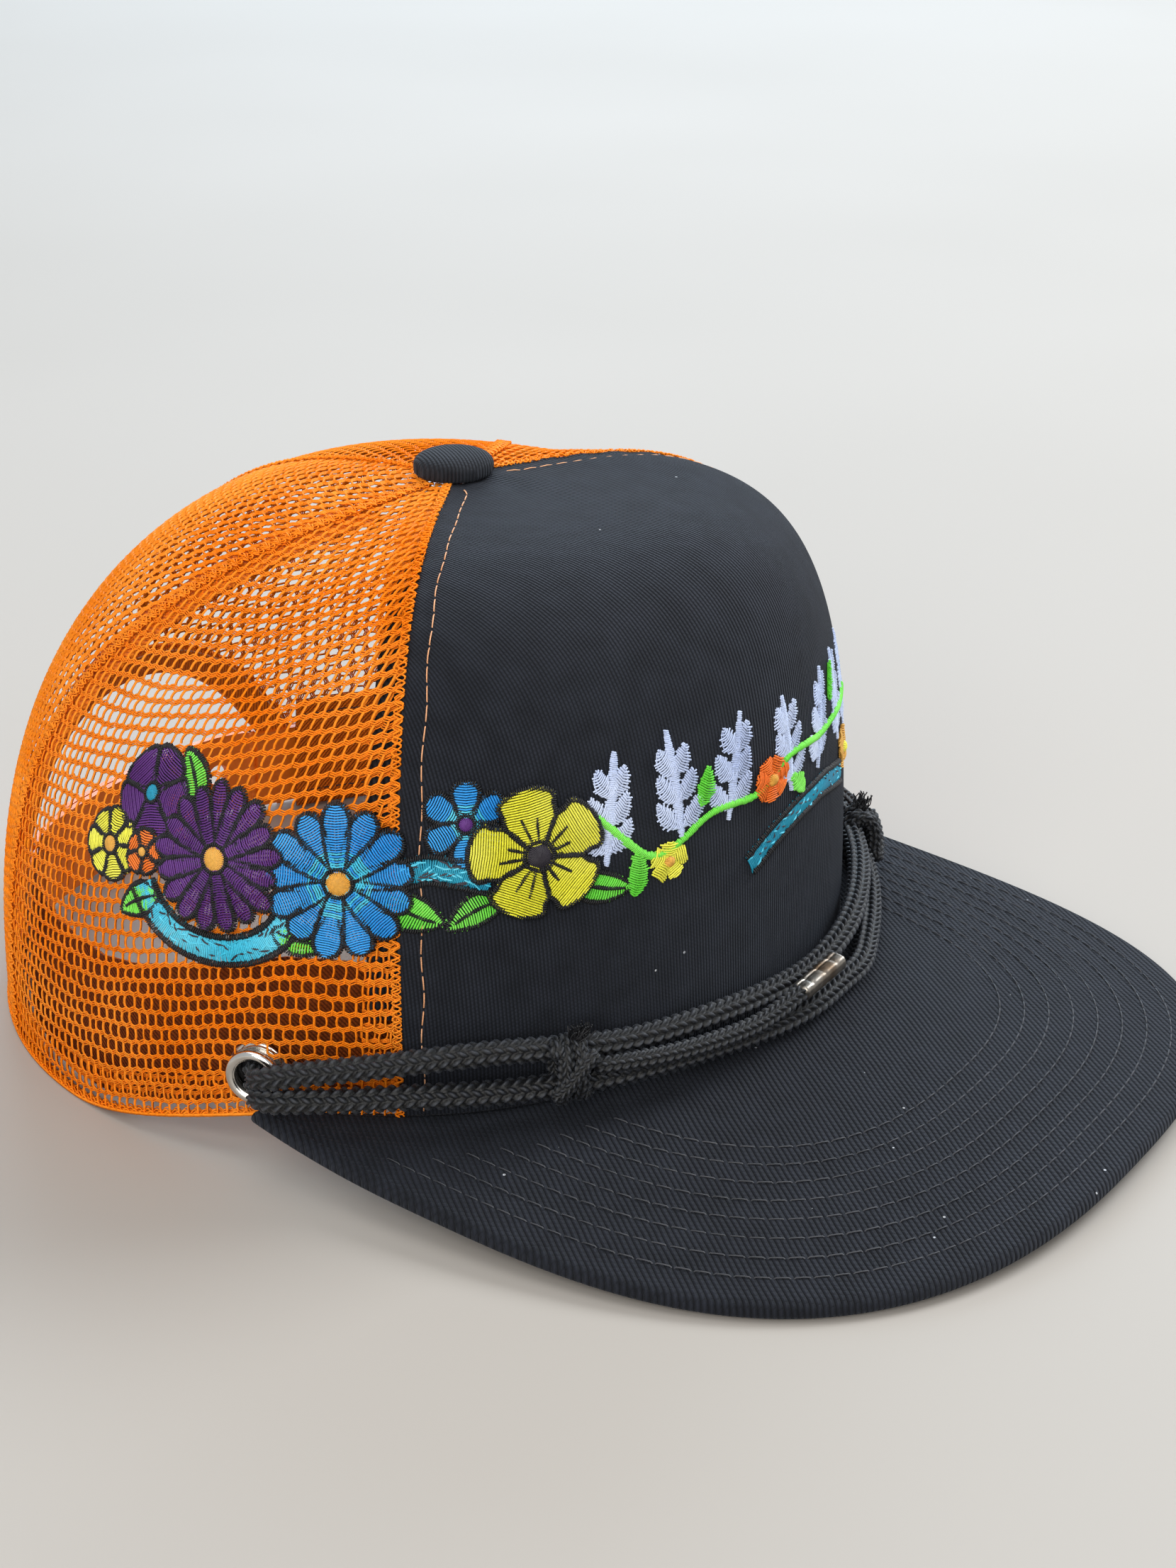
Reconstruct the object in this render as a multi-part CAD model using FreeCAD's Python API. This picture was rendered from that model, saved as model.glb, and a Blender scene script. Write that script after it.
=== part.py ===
import FreeCAD, Part
import math
import os

# Trucker cap. Millimetres, +Z up, brim towards -Y, wearer's right towards -X.
# Origin: centre of the head opening, on the plane that the rear rim rests on.

# Crown
HALF_WIDTH = 90.0
HALF_LENGTH = 88.0
CROWN_HEIGHT = 110.0
BUTTON_Y = -10.0            # the crown's top sits a little forward of the middle
FRONT_SEAM = 56.0           # degrees round from the front centre
REAR_SEAM = 124.0           # degrees at the rim; the seam runs forward as it climbs
REAR_SEAM_SHIFT = 36.0
CREASE_HEIGHT = 4.5         # soft centre crease of the front panel
CREASE_SPREAD = 16.0        # degrees
TOP_HOLE = 0.04             # share of the radius left open under the button
PANEL_GAP = 0.12            # between neighbouring layers
MESH_THICKNESS = 1.0
TWILL_THICKNESS = 0.9
BACKING_THICKNESS = 0.9
TAPE_THICKNESS = 0.6
TAPE_HALF_WIDTH = 5.5

# Visor
VISOR_HALF_WIDTH = 92.0
VISOR_WIDEST_Y = -61.0
VISOR_REACH = 104.5         # from the widest place to the tip
VISOR_SIDE_POWER = 2.5
VISOR_FRONT_POWER = 3.05
VISOR_CORNER = 73.5         # degrees
VISOR_LEVEL = 13.6          # top face where it meets the front of the crown
VISOR_CAMBER = 0.00094      # drop per square millimetre sideways
VISOR_PITCH = 0.100         # drop per millimetre forward
COVER_THICKNESS = 0.7
BOARD_THICKNESS = 1.7
BOARD_INSET = 1.3

# Rear opening and snap strap
ARCH_HALF_WIDTH = 43.0
ARCH_HEIGHT = 46.0
STRAP_HINGE_X = 37.2
STRAP_Y = 86.5
STRAP_MID_RADIUS = 130.0
STRAP_MID_HALF = 26.0
STRAP_SIDE_RADIUS = 24.0
STRAP_BOTTOM = 1.5
STRAP_WIDTH = 19.0
STRAP_THICKNESS = 1.4
STRAP_GAP = 0.4             # between the two overlapping strips
SNAP_PITCH = 10.0
SNAP_HOLE_R = 2.5
SNAP_PEG_R = 1.5
SNAP_PEG_HEIGHT = 2.3
PEG_COUNT = 5
HOLE_COUNT = 6

# Sweatband, button, eyelets
SWEATBAND_WIDTH = 30.0
SWEATBAND_END = 149.0       # degrees
BUTTON_RADIUS = 8.0
BUTTON_HEIGHT = 4.6
EYELET_ANGLE = 74.0
EYELET_Z = 18.5
EYELET_HOLE_R = 3.7
EYELET_OUTER_R = 5.6
EYELET_WALL = 0.45

# Lace: two strands round the front, in two sliding knots
ROPE_DIAMETER = 4.6
NECK_R = 3.2
UPPER_ROUTE = [
    (-90.2, -26.3, 20.8), (-91.2, -29.9, 22.4), (-89.2, -36.0, 23.8), (-85.2, -44.2, 25.3),
    (-77.9, -55.0, 26.9), (-68.4, -65.3, 27.6), (-57.5, -74.0, 26.2), (-44.5, -82.0, 24.4),
    (-29.0, -88.4, 24.1), (-12.5, -91.8, 22.7), (3.6, -92.4, 21.2), (17.8, -90.8, 21.4),
    (31.6, -86.8, 22.0), (46.4, -79.8, 21.6), (59.5, -72.0, 21.0), (70.4, -63.2, 21.0),
    (79.4, -52.6, 21.4), (86.0, -42.6, 21.9), (89.8, -35.6, 21.8), (91.2, -29.8, 21.4),
    (90.2, -26.3, 20.8)]
LOWER_ROUTE = [
    (-90.2, -26.3, 16.1), (-91.5, -30.0, 17.4), (-89.8, -36.2, 18.6), (-85.8, -44.0, 19.2),
    (-78.6, -54.8, 19.9), (-69.0, -65.4, 19.3), (-58.0, -74.6, 18.8), (-45.2, -82.5, 18.5),
    (-30.2, -89.3, 18.1), (-15.4, -94.3, 17.3), (-2.2, -96.6, 16.9), (9.6, -95.6, 16.6),
    (19.7, -95.0, 15.8), (31.8, -89.8, 15.6), (44.6, -83.6, 15.5), (57.8, -76.0, 15.4),
    (70.2, -66.2, 15.6), (79.8, -54.8, 16.0), (86.5, -43.6, 16.4), (90.1, -35.8, 16.5),
    (91.5, -30.0, 16.4), (90.2, -26.3, 16.1)]
TAIL_ROUTE = [
    (-50.5, -81.2, 22.0), (-42.0, -87.9, 21.9), (-30.5, -92.8, 21.5), (-18.5, -95.8, 21.0),
    (-8.0, -96.9, 22.9)]
LEFT_TAIL_ROUTE = [
    (72.8, -66.8, 19.4), (79.4, -61.6, 18.8), (85.8, -53.4, 18.7), (90.4, -44.8, 18.7)]
RIGHT_KNOT = (-57.2, -75.4, 22.6)
LEFT_KNOT = (68.2, -67.2, 18.4)
KNOT_SIZE = (6.2, 4.7, 6.6)  # half lengths: along the lace, across it, upwards
AGLET_LENGTH = 13.0
AGLET_R = 2.0
TAIL_DIAMETER = 3.6

# Embroidery fields: degrees round the crown, and heights
STITCH_THICKNESS = 0.9
STITCH_LIFT = 0.1
SIDE_FIELD = (57.5, 103.0, 38.0, 78.0)
FRONT_FIELD = (-40.0, 54.5, 44.0, 82.0)

# Inner layers
TAPE_START = 0.13           # shares of the climb from rim to top
TAPE_END = 0.84
HEM_START = 75.5            # degrees
HEM_END = 136.5
HEM_LOW = 0.6
HEM_HIGH = 9.5
HEM_THICKNESS = 0.6
SWEATBAND_LOW = 1.0
SWEATBAND_THICKNESS = 0.8
SWEATBAND_INSET_LOW = 4.9
SWEATBAND_INSET_HIGH = 6.6
ROOT_FRONT = 138.0          # strap ends sewn inside the crown, degrees
ROOT_BACK = 154.6
BINDING_WIDTH = 6.0

vec = FreeCAD.Vector


def mix(a, b, t):
    return a + (b - a) * t


def smooth_step(t):
    t = min(max(t, 0.0), 1.0)
    return t * t * (3 - 2 * t)


def super_radius(angle, a, b, m, n):
    """Distance along a ray to the curve (x/a)^m + (y/b)^n = 1."""
    x = abs(math.cos(angle)) / a
    y = abs(math.sin(angle)) / b
    low = 0.0
    high = 2.0 * max(a, b)
    for _ in range(44):
        mid = (low + high) / 2
        if (mid * x) ** m + (mid * y) ** n < 1:
            low = mid
        else:
            high = mid
    return low


def visor_z(x, y):
    return VISOR_LEVEL - VISOR_CAMBER * x * x - VISOR_PITCH * (-y - HALF_LENGTH)


def rim_point(phi):
    """Rim of the crown. phi in degrees from the front, positive to the wearer's right."""
    a = math.radians(phi)
    x = -HALF_WIDTH * math.sin(a)
    y = -HALF_LENGTH * math.cos(a)
    lift = smooth_step((105 - abs(phi)) / 45)
    tuck = 1.6 * smooth_step((73 - abs(phi)) / 13)
    return vec(x, y, max(0.0, (visor_z(x, y) - tuck) * lift))


def crown_point(phi, rise):
    """Outer face of the crown: rise is 0 at the rim and 1 at the top."""
    base = rim_point(phi)
    cos2 = math.cos(math.radians(phi)) ** 2
    if abs(phi) < 90:
        p, q = mix(2.3, 8.0, cos2), mix(2.9, 3.1, cos2)
    else:
        p, q = mix(2.3, 2.9, cos2), mix(2.9, 2.15, cos2)
    angle = rise * math.pi / 2
    ray = super_radius(angle, 1, 1, p, q)
    share = ray * math.cos(angle)
    point = vec(base.x * share, BUTTON_Y + (base.y - BUTTON_Y) * share,
                base.z + (CROWN_HEIGHT - base.z) * ray * math.sin(angle))
    level = share ** p
    hump = (2 * math.sqrt(max(level * (1 - level), 0))) ** 1.5
    away = point - vec(0, BUTTON_Y, 0.45 * CROWN_HEIGHT)
    away.normalize()
    return point + away * (CREASE_HEIGHT * hump * math.exp(-(phi / CREASE_SPREAD) ** 2))


def crown_normal(phi, rise):
    across = crown_point(phi + 0.5, rise) - crown_point(phi - 0.5, rise)
    up = crown_point(phi, min(rise + 0.004, 0.998)) - crown_point(phi, max(rise - 0.004, 0))
    normal = up.cross(across)
    normal.normalize()
    return normal


def on_crown(phi, rise, inset):
    normal = crown_normal(phi, rise)
    if rise < 0.02:
        normal = vec(normal.x, normal.y, 0)
        normal.normalize()
    return crown_point(phi, rise) - normal * inset


def rise_at(phi, z):
    low, high = 0.0, 0.9
    for _ in range(30):
        mid = (low + high) / 2
        if crown_point(phi, mid).z < z:
            low = mid
        else:
            high = mid
    return low


def wall_point(phi, z, inset):
    return on_crown(phi, rise_at(phi, z), inset)


def rear_seam(rise):
    return REAR_SEAM - REAR_SEAM_SHIFT * max(0.0, (rise - 0.3) / 0.7) ** 1.3


def grid_solid(outer, inner, columns, rows):
    """Closed solid between two sheets; outer and inner give a point for u and v in 0..1."""
    sheets = []
    for place in (outer, inner):
        points = [[place(i / columns, j / rows) for j in range(rows + 1)]
                  for i in range(columns + 1)]
        sheet = Part.BSplineSurface()
        sheet.interpolate(points)
        sheets.append(sheet)
    faces = [sheet.toShape() for sheet in sheets]
    borders = []
    for sheet in sheets:
        u0, u1, v0, v1 = sheet.bounds()
        curves = (sheet.uIso(u0), sheet.uIso(u1), sheet.vIso(v0), sheet.vIso(v1))
        borders.append([curve.toShape() for curve in curves])
    for near, far in zip(*borders):
        faces.append(Part.makeRuledSurface(near, far))
    shell = Part.Shell(faces)
    shell.sewShape(1e-4)
    solid = Part.Solid(shell)
    if solid.Volume < 0:
        solid.reverse()
    return solid


def crown_piece(phi_low, phi_high, rise_low, rise_high, outer_inset, thickness, columns, rows):
    """A layer of the crown between two seams; each seam may be a number or a rule of rise."""
    def place(inset):
        def point(u, v):
            rise = mix(rise_low, rise_high, v)
            low = phi_low(rise) if callable(phi_low) else phi_low
            high = phi_high(rise) if callable(phi_high) else phi_high
            return on_crown(mix(low, high, u), rise, inset)
        return point
    return grid_solid(place(outer_inset), place(outer_inset + thickness), columns, rows)


def wall_band(phi_low, phi_high, low_z, high_z, inset_low, inset_high, thickness, columns=24):
    """A band inside the crown wall; low_z and high_z are heights above the rim."""
    def place(extra):
        def point(u, v):
            phi = mix(phi_low, phi_high, u)
            z = rim_point(phi).z + mix(low_z, high_z, v)
            return wall_point(phi, z, mix(inset_low, inset_high, v) + extra)
        return point
    return grid_solid(place(0), place(thickness), columns, 5)


def mirrored(shape):
    return shape.mirror(vec(0, 0, 0), vec(1, 0, 0))


def eyelet_axis():
    rise = rise_at(EYELET_ANGLE, EYELET_Z)
    normal = crown_normal(EYELET_ANGLE, rise)
    normal = vec(normal.x, normal.y, 0)
    normal.normalize()
    return crown_point(EYELET_ANGLE, rise), normal


def tube_at(centre, axis, radius, start, end):
    return Part.makeCylinder(radius, end - start, centre + axis * start, axis)


def ring_at(centre, axis, outer_r, inner_r, start, end):
    return tube_at(centre, axis, outer_r, start, end).cut(
        tube_at(centre, axis, inner_r, start - 1, end + 1))


def cord(name, route, diameter):
    """Round tube along straight runs joined by tangent arcs."""
    points = [vec(*p) for p in route]
    edges = []
    at = points[0]
    tightest = 1e9
    for i in range(1, len(points) - 1):
        back = points[i - 1] - points[i]
        ahead = points[i + 1] - points[i]
        run = min(back.Length, ahead.Length)
        back.normalize()
        ahead.normalize()
        half_turn = (math.pi - back.getAngle(ahead)) / 2
        cut = 0.45 * run
        radius = cut / math.tan(half_turn)
        tightest = min(tightest, radius)
        first = points[i] + back * cut
        last = points[i] + ahead * cut
        inward = back + ahead
        inward.normalize()
        middle = points[i] + inward * (radius / math.cos(half_turn) - radius)
        edges.append(Part.LineSegment(at, first).toShape())
        edges.append(Part.Arc(first, middle, last).toShape())
        at = last
    edges.append(Part.LineSegment(at, points[-1]).toShape())
    path = Part.Wire(edges)
    along = (points[1] - points[0])
    section = Part.Wire([Part.makeCircle(diameter / 2, points[0], along)])
    tube = path.makePipeShell([section], True, False, 1)
    expected = math.pi * diameter ** 2 / 4 * path.Length
    print(f"{name}: length {path.Length:.1f}, tightest radius {tightest:.1f}, "
          f"volume ratio {tube.Volume / expected:.3f}")
    return tube


def crown_panels():
    top = 1 - TOP_HOLE
    gap = 0.1
    front = crown_piece(-FRONT_SEAM + gap, FRONT_SEAM - gap, 0, top, 0, TWILL_THICKNESS, 28, 16)
    inset = TWILL_THICKNESS + PANEL_GAP
    backing = crown_piece(-FRONT_SEAM + 2, FRONT_SEAM - 2, 0.01, top - 0.05, inset,
                          BACKING_THICKNESS, 28, 14)
    side = crown_piece(FRONT_SEAM + gap, lambda r: rear_seam(r) - gap, 0, top, 0,
                       MESH_THICKNESS, 12, 16)
    rear = crown_piece(lambda r: rear_seam(r) + gap, 180 - gap, 0, top, 0, MESH_THICKNESS, 12, 16)
    return front, backing, side, rear


def arch_cutter(grow):
    """Half-moon prism through the back of the crown."""
    curve = Part.Ellipse(vec(0, 0, 0), ARCH_HEIGHT + grow, ARCH_HALF_WIDTH + grow).toShape()
    face = Part.Face(Part.Wire([curve]))
    face.rotate(vec(0, 0, 0), vec(0, 0, 1), 90)
    face.rotate(vec(0, 0, 0), vec(1, 0, 0), 90)
    face.translate(vec(0, 100, 0))
    return face.extrude(vec(0, -70, 0))


def seam_tape(seam_at, inset):
    def place(extra):
        def point(u, v):
            rise = mix(TAPE_START, TAPE_END, v)
            phi = seam_at(rise)
            reach = crown_point(phi, rise)
            radius = math.hypot(reach.x, reach.y - BUTTON_Y)
            spread = math.degrees(TAPE_HALF_WIDTH / radius)
            return on_crown(phi + mix(-spread, spread, u), rise, inset + extra)
        return point
    return grid_solid(place(0), place(TAPE_THICKNESS), 4, 16)


def visor_edge(u, inset):
    side = 1 if u > 0 else -1
    t = abs(u)
    reach = VISOR_REACH - inset
    half = VISOR_HALF_WIDTH - inset
    corner = rim_point(VISOR_CORNER)
    corner_x = -corner.x + 2.6 - inset
    corner_y = corner.y - inset
    if t <= 0.8:
        angle = t / 0.8 * math.pi / 2
        ray = super_radius(math.pi / 2 - angle, half, reach, VISOR_SIDE_POWER, VISOR_FRONT_POWER)
        return -side * ray * math.sin(angle), VISOR_WIDEST_Y - ray * math.cos(angle)
    s = (t - 0.8) / 0.2
    return -side * (half - (half - corner_x) * s * s), mix(VISOR_WIDEST_Y, corner_y, s)


def visor_layer(top, thickness, edge_inset, crown_gap):
    def place(depth):
        def point(u, v):
            along = mix(-1, 1, u)
            rim = rim_point(along * (VISOR_CORNER - 0.2))
            out = vec(rim.x / HALF_WIDTH ** 2, rim.y / HALF_LENGTH ** 2, 0)
            out.normalize()
            rim = rim + out * crown_gap
            edge = visor_edge(along, edge_inset)
            x = mix(rim.x, edge[0], v)
            y = mix(rim.y, edge[1], v)
            return vec(x, y, visor_z(x, y) - depth)
        return point
    return grid_solid(place(top), place(top + thickness), 60, 8)


def strap_profile(offset, tip_x):
    """Centre line of one strip in plan, from its hinge at +X to its tip, as a closed band."""
    def at(x, shift):
        side = 1 if x > 0 else -1
        t = abs(x)
        if t <= STRAP_MID_HALF:
            slope = math.asin(t / STRAP_MID_RADIUS)
            y = STRAP_Y - STRAP_MID_RADIUS * (1 - math.cos(slope))
        else:
            start = math.asin(STRAP_MID_HALF / STRAP_MID_RADIUS)
            centre_x = STRAP_MID_HALF - STRAP_SIDE_RADIUS * math.sin(start)
            centre_y = (STRAP_Y - STRAP_MID_RADIUS * (1 - math.cos(start))
                        - STRAP_SIDE_RADIUS * math.cos(start))
            slope = math.asin((t - centre_x) / STRAP_SIDE_RADIUS)
            y = centre_y + STRAP_SIDE_RADIUS * math.cos(slope)
        return vec(x + side * math.sin(slope) * shift, y + math.cos(slope) * shift, 0)

    def line(shift):
        stops = [STRAP_HINGE_X, 34.0, 30.0, STRAP_MID_HALF, 13.0, 0.0, -13.0, tip_x]
        curve = Part.BSplineCurve()
        curve.interpolate([at(x, shift) for x in stops])
        return curve.toShape()

    inner = line(offset)
    outer = line(offset + STRAP_THICKNESS)
    ends = [Part.makeLine(inner.Vertexes[i].Point, outer.Vertexes[i].Point) for i in (0, 1)]
    face = Part.Face(Part.Wire(Part.__sortEdges__([inner, outer] + ends)))
    return face.extrude(vec(0, 0, STRAP_WIDTH))


def strap_strip(offset, tip_x):
    band = strap_profile(offset, tip_x)
    band.translate(vec(0, 0, STRAP_BOTTOM))
    mid_z = STRAP_BOTTOM + STRAP_WIDTH / 2
    round_end = Part.makeCylinder(STRAP_WIDTH / 2, 30, vec(tip_x + STRAP_WIDTH / 2, 70, mid_z),
                                  vec(0, 1, 0))
    body = Part.makeBox(60, 30, STRAP_WIDTH + 2,
                        vec(tip_x + STRAP_WIDTH / 2, 70, STRAP_BOTTOM - 1))
    return band.common(round_end.fuse(body)), mid_z


def snap_strap():
    outer, mid_z = strap_strip(STRAP_GAP / 2, -STRAP_MID_HALF)
    first = -20.0
    for i in range(HOLE_COUNT):
        outer = outer.cut(Part.makeCylinder(SNAP_HOLE_R, 30, vec(first + i * SNAP_PITCH, 70, mid_z),
                                            vec(0, 1, 0)))
    inner, mid_z = strap_strip(-STRAP_GAP / 2 - STRAP_THICKNESS, -STRAP_MID_HALF)
    inner = mirrored(inner)
    for i in range(PEG_COUNT):
        x = first + i * SNAP_PITCH
        sagitta = STRAP_MID_RADIUS - math.sqrt(STRAP_MID_RADIUS ** 2 - x * x)
        start = vec(x, STRAP_Y - sagitta - STRAP_GAP / 2 - 0.6, mid_z)
        peg = Part.makeCylinder(SNAP_PEG_R, SNAP_PEG_HEIGHT + 0.6, start, vec(0, 1, 0))
        inner = inner.fuse(peg)
    return outer, inner


def strap_root(first_inset):
    """Sewn end of a strip, inside the crown on the wearer's right of the rear opening."""
    def place(depth):
        def point(u, v):
            phi = mix(ROOT_BACK, ROOT_FRONT, u)
            return wall_point(phi, mix(STRAP_BOTTOM, STRAP_BOTTOM + STRAP_WIDTH, v),
                              mix(first_inset, 1.3, u) + depth)
        return point
    return grid_solid(place(0), place(STRAP_THICKNESS), 6, 3)


def arch_binding():
    """Folded tape along the edge of the rear opening."""
    def back_point(x, z, inset):
        low, high = 140.0, 180.0
        side = 1 if x < 0 else -1
        for _ in range(30):
            mid = (low + high) / 2
            if abs(wall_point(mid, z, inset).x) > abs(x):
                low = mid
            else:
                high = mid
        return wall_point(side * low, z, inset)

    def place(inset):
        def point(u, v):
            a = math.pi * mix(0.17, 0.83, u)
            grow = mix(0.2, BINDING_WIDTH, v)
            x = (ARCH_HALF_WIDTH + grow) * math.cos(a)
            z = (ARCH_HEIGHT + grow) * math.sin(a)
            return back_point(x, z, inset)
        return point
    inner_inset = MESH_THICKNESS + PANEL_GAP
    return grid_solid(place(inner_inset), place(inner_inset + TAPE_THICKNESS), 28, 2)


def button_parts():
    base = vec(0, BUTTON_Y, CROWN_HEIGHT + 0.35)

    def dome(radius, height, lift):
        centre = base + vec(0, 0, lift)
        profile = [(0, 0), (radius - 0.6, 0), (radius, 0.7), (radius * 0.93, height * 0.52),
                   (radius * 0.68, height * 0.86), (0, height)]
        points = [centre + vec(r, 0, z) for r, z in profile]
        edges = [Part.makeLine(points[0], points[1]), Part.makeLine(points[1], points[2])]
        crown = Part.BSplineCurve()
        crown.interpolate(points[2:])
        edges.append(crown.toShape())
        edges.append(Part.makeLine(points[-1], points[0]))
        return Part.Face(Part.Wire(edges)).revolve(centre, vec(0, 0, 1), 360)

    whole = dome(BUTTON_RADIUS, BUTTON_HEIGHT, 0)
    hollow = dome(BUTTON_RADIUS - 0.7, BUTTON_HEIGHT - 0.8, 0)
    mouth = Part.makeCylinder(BUTTON_RADIUS - 1.3, 1, base - vec(0, 0, 0.5))
    cover = whole.cut(hollow).cut(mouth)
    shell = dome(BUTTON_RADIUS - 0.85, BUTTON_HEIGHT - 1.05, 0.05)
    shank = Part.makeCylinder(1.6, 3.2, base - vec(0, 0, 3.2))
    plate = Part.makeCylinder(6.5, 0.7, base - vec(0, 0, 3.9))
    return cover, shell, shank.fuse(plate)


def eyelet_parts():
    centre, axis = eyelet_axis()
    flange = ring_at(centre, axis, EYELET_OUTER_R, EYELET_HOLE_R, 0.15, 1.15)
    outer_edges = [e for e in flange.Edges
                   if hasattr(e.Curve, "Radius") and (e.CenterOfMass - centre).dot(axis) > 1]
    flange = flange.makeFillet(0.45, outer_edges)
    barrel = ring_at(centre, axis, EYELET_HOLE_R + EYELET_WALL, EYELET_HOLE_R, -2.9, 0.6)
    lip = ring_at(centre, axis, EYELET_HOLE_R + 1.1, EYELET_HOLE_R, -3.2, -2.8)
    eyelet = flange.fuse(barrel).fuse(lip)
    washer = ring_at(centre, axis, EYELET_OUTER_R + 0.5, EYELET_HOLE_R + EYELET_WALL + 0.1,
                     -2.7, -2.1)
    hole = tube_at(centre, axis, EYELET_HOLE_R + EYELET_WALL + 0.1, -6, 4)
    anchor = tube_at(centre, axis, 4.6, -4.6, -3.5)
    neck = tube_at(centre, axis, NECK_R, -2.9, 2.4)
    bulge = tube_at(centre, axis, 4.4, 1.6, 4.8)
    bulge = bulge.makeFillet(1.1, [e for e in bulge.Edges if hasattr(e.Curve, "Radius")])
    return eyelet, washer, hole, anchor, neck.fuse(bulge)


def knot_block(centre, heading):
    """Closed outer shape of a knot round both strands."""
    along, across, up = KNOT_SIZE
    ball = Part.makeSphere(1)
    stretch = FreeCAD.Matrix()
    stretch.scale(along, across, up)
    body = ball.transformGeometry(stretch)
    body.rotate(vec(0, 0, 0), vec(0, 0, 1), heading)
    body.translate(vec(*centre))
    return body


def aglet(route):
    end = vec(*route[-1])
    along = end - vec(*route[-2])
    along.normalize()
    sleeve = Part.makeCylinder(AGLET_R, AGLET_LENGTH, end - along * 1.0, along)
    return sleeve.makeFillet(0.3, [e for e in sleeve.Edges if hasattr(e.Curve, "Radius")])


def embroidery(phi_low, phi_high, z_low, z_high, columns):
    def place(inset):
        def point(u, v):
            return wall_point(mix(phi_low, phi_high, u), mix(z_low, z_high, v), inset)
        return point
    return grid_solid(place(-STITCH_THICKNESS - STITCH_LIFT), place(-STITCH_LIFT), columns, 6)


def main():
    nodes = {}
    front, backing, side, rear = crown_panels()
    eyelet, washer, hole, anchor, neck = eyelet_parts()
    side = side.cut(hole)
    rear = rear.cut(arch_cutter(0))
    nodes["front_panel"] = front
    nodes["front_backing"] = backing
    nodes["side_mesh_right"] = side
    nodes["rear_mesh_right"] = rear
    inner = MESH_THICKNESS + PANEL_GAP
    nodes["front_seam_tape_right"] = seam_tape(
        lambda r: FRONT_SEAM, TWILL_THICKNESS + BACKING_THICKNESS + 3 * PANEL_GAP)
    nodes["rear_seam_tape_right"] = seam_tape(rear_seam, inner)
    hem = wall_band(HEM_START, HEM_END, HEM_LOW, HEM_HIGH, inner, inner, HEM_THICKNESS, 20)
    nodes["hem_right"] = hem.cut(tube_at(*eyelet_axis(), EYELET_OUTER_R + 0.9, -8, 4))
    nodes["eyelet_right"] = eyelet
    nodes["eyelet_washer_right"] = washer
    nodes["lace_anchor_right"] = anchor
    nodes["lace_neck_right"] = neck
    for name in list(nodes):
        if name.endswith("_right"):
            nodes[name[:-5] + "left"] = mirrored(nodes[name])
    nodes["strap_root_right"] = strap_root(2.25)
    nodes["strap_root_left"] = mirrored(strap_root(1.15))
    nodes["rear_arch_binding"] = arch_binding()
    nodes["sweatband"] = wall_band(-SWEATBAND_END, SWEATBAND_END, SWEATBAND_LOW, SWEATBAND_WIDTH,
                                   SWEATBAND_INSET_LOW, SWEATBAND_INSET_HIGH,
                                   SWEATBAND_THICKNESS, 60)
    nodes["visor_top_cover"] = visor_layer(0, COVER_THICKNESS, 0, 0.15)
    nodes["visor_board"] = visor_layer(COVER_THICKNESS + 0.05, BOARD_THICKNESS, BOARD_INSET, 0.5)
    nodes["visor_under_cover"] = visor_layer(COVER_THICKNESS + BOARD_THICKNESS + 0.1,
                                             COVER_THICKNESS, 0, 0.15)
    nodes["button_cover"], nodes["button_shell"], nodes["button_rivet"] = button_parts()
    nodes["strap_with_holes"], nodes["strap_with_pegs"] = snap_strap()
    nodes["lace_upper_strand"] = cord("upper strand", UPPER_ROUTE, ROPE_DIAMETER)
    nodes["lace_lower_strand"] = cord("lower strand", LOWER_ROUTE, ROPE_DIAMETER)
    nodes["lace_tail_right"] = cord("right tail", TAIL_ROUTE, TAIL_DIAMETER)
    nodes["lace_tail_left"] = cord("left tail", LEFT_TAIL_ROUTE, TAIL_DIAMETER)
    nodes["lace_knot_right"] = knot_block(RIGHT_KNOT, -38)
    nodes["lace_knot_left"] = knot_block(LEFT_KNOT, 43)
    nodes["aglet_right"] = aglet(TAIL_ROUTE)
    nodes["aglet_left"] = aglet(LEFT_TAIL_ROUTE)
    nodes["embroidery_side"] = embroidery(*SIDE_FIELD, 14)
    nodes["embroidery_front"] = embroidery(*FRONT_FIELD, 24)
    os.makedirs("parts", exist_ok=True)
    for name, shape in nodes.items():
        if not shape.isValid() or shape.Volume <= 0:
            print("bad solid", name, shape.isValid(), round(shape.Volume, 2))
        shape.exportStep(f"parts/{name}.step")
    box = nodes["visor_under_cover"].BoundBox
    print("lowest visor point", round(box.ZMin, 2), "nodes", len(nodes))


main()
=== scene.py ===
import math
import bpy
import numpy as np
from mathutils import Matrix, Vector


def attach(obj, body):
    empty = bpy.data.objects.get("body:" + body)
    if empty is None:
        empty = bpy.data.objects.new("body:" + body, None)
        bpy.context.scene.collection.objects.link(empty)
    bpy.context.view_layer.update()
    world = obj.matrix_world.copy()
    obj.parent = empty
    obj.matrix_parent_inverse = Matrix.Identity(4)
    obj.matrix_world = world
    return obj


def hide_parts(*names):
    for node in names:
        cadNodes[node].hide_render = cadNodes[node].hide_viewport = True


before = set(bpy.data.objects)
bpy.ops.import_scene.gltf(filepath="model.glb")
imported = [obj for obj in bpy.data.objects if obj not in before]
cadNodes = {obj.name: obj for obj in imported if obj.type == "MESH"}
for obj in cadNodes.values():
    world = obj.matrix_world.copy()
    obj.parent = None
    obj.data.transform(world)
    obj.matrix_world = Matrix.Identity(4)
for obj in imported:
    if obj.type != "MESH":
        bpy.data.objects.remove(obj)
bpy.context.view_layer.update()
mm = 0.001

# Small helpers


def addObject(name, data):
    made = bpy.data.objects.new(name, data)
    bpy.context.scene.collection.objects.link(made)
    return made


def unit(vectors):
    return vectors / np.linalg.norm(vectors, axis=-1, keepdims=True)


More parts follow.
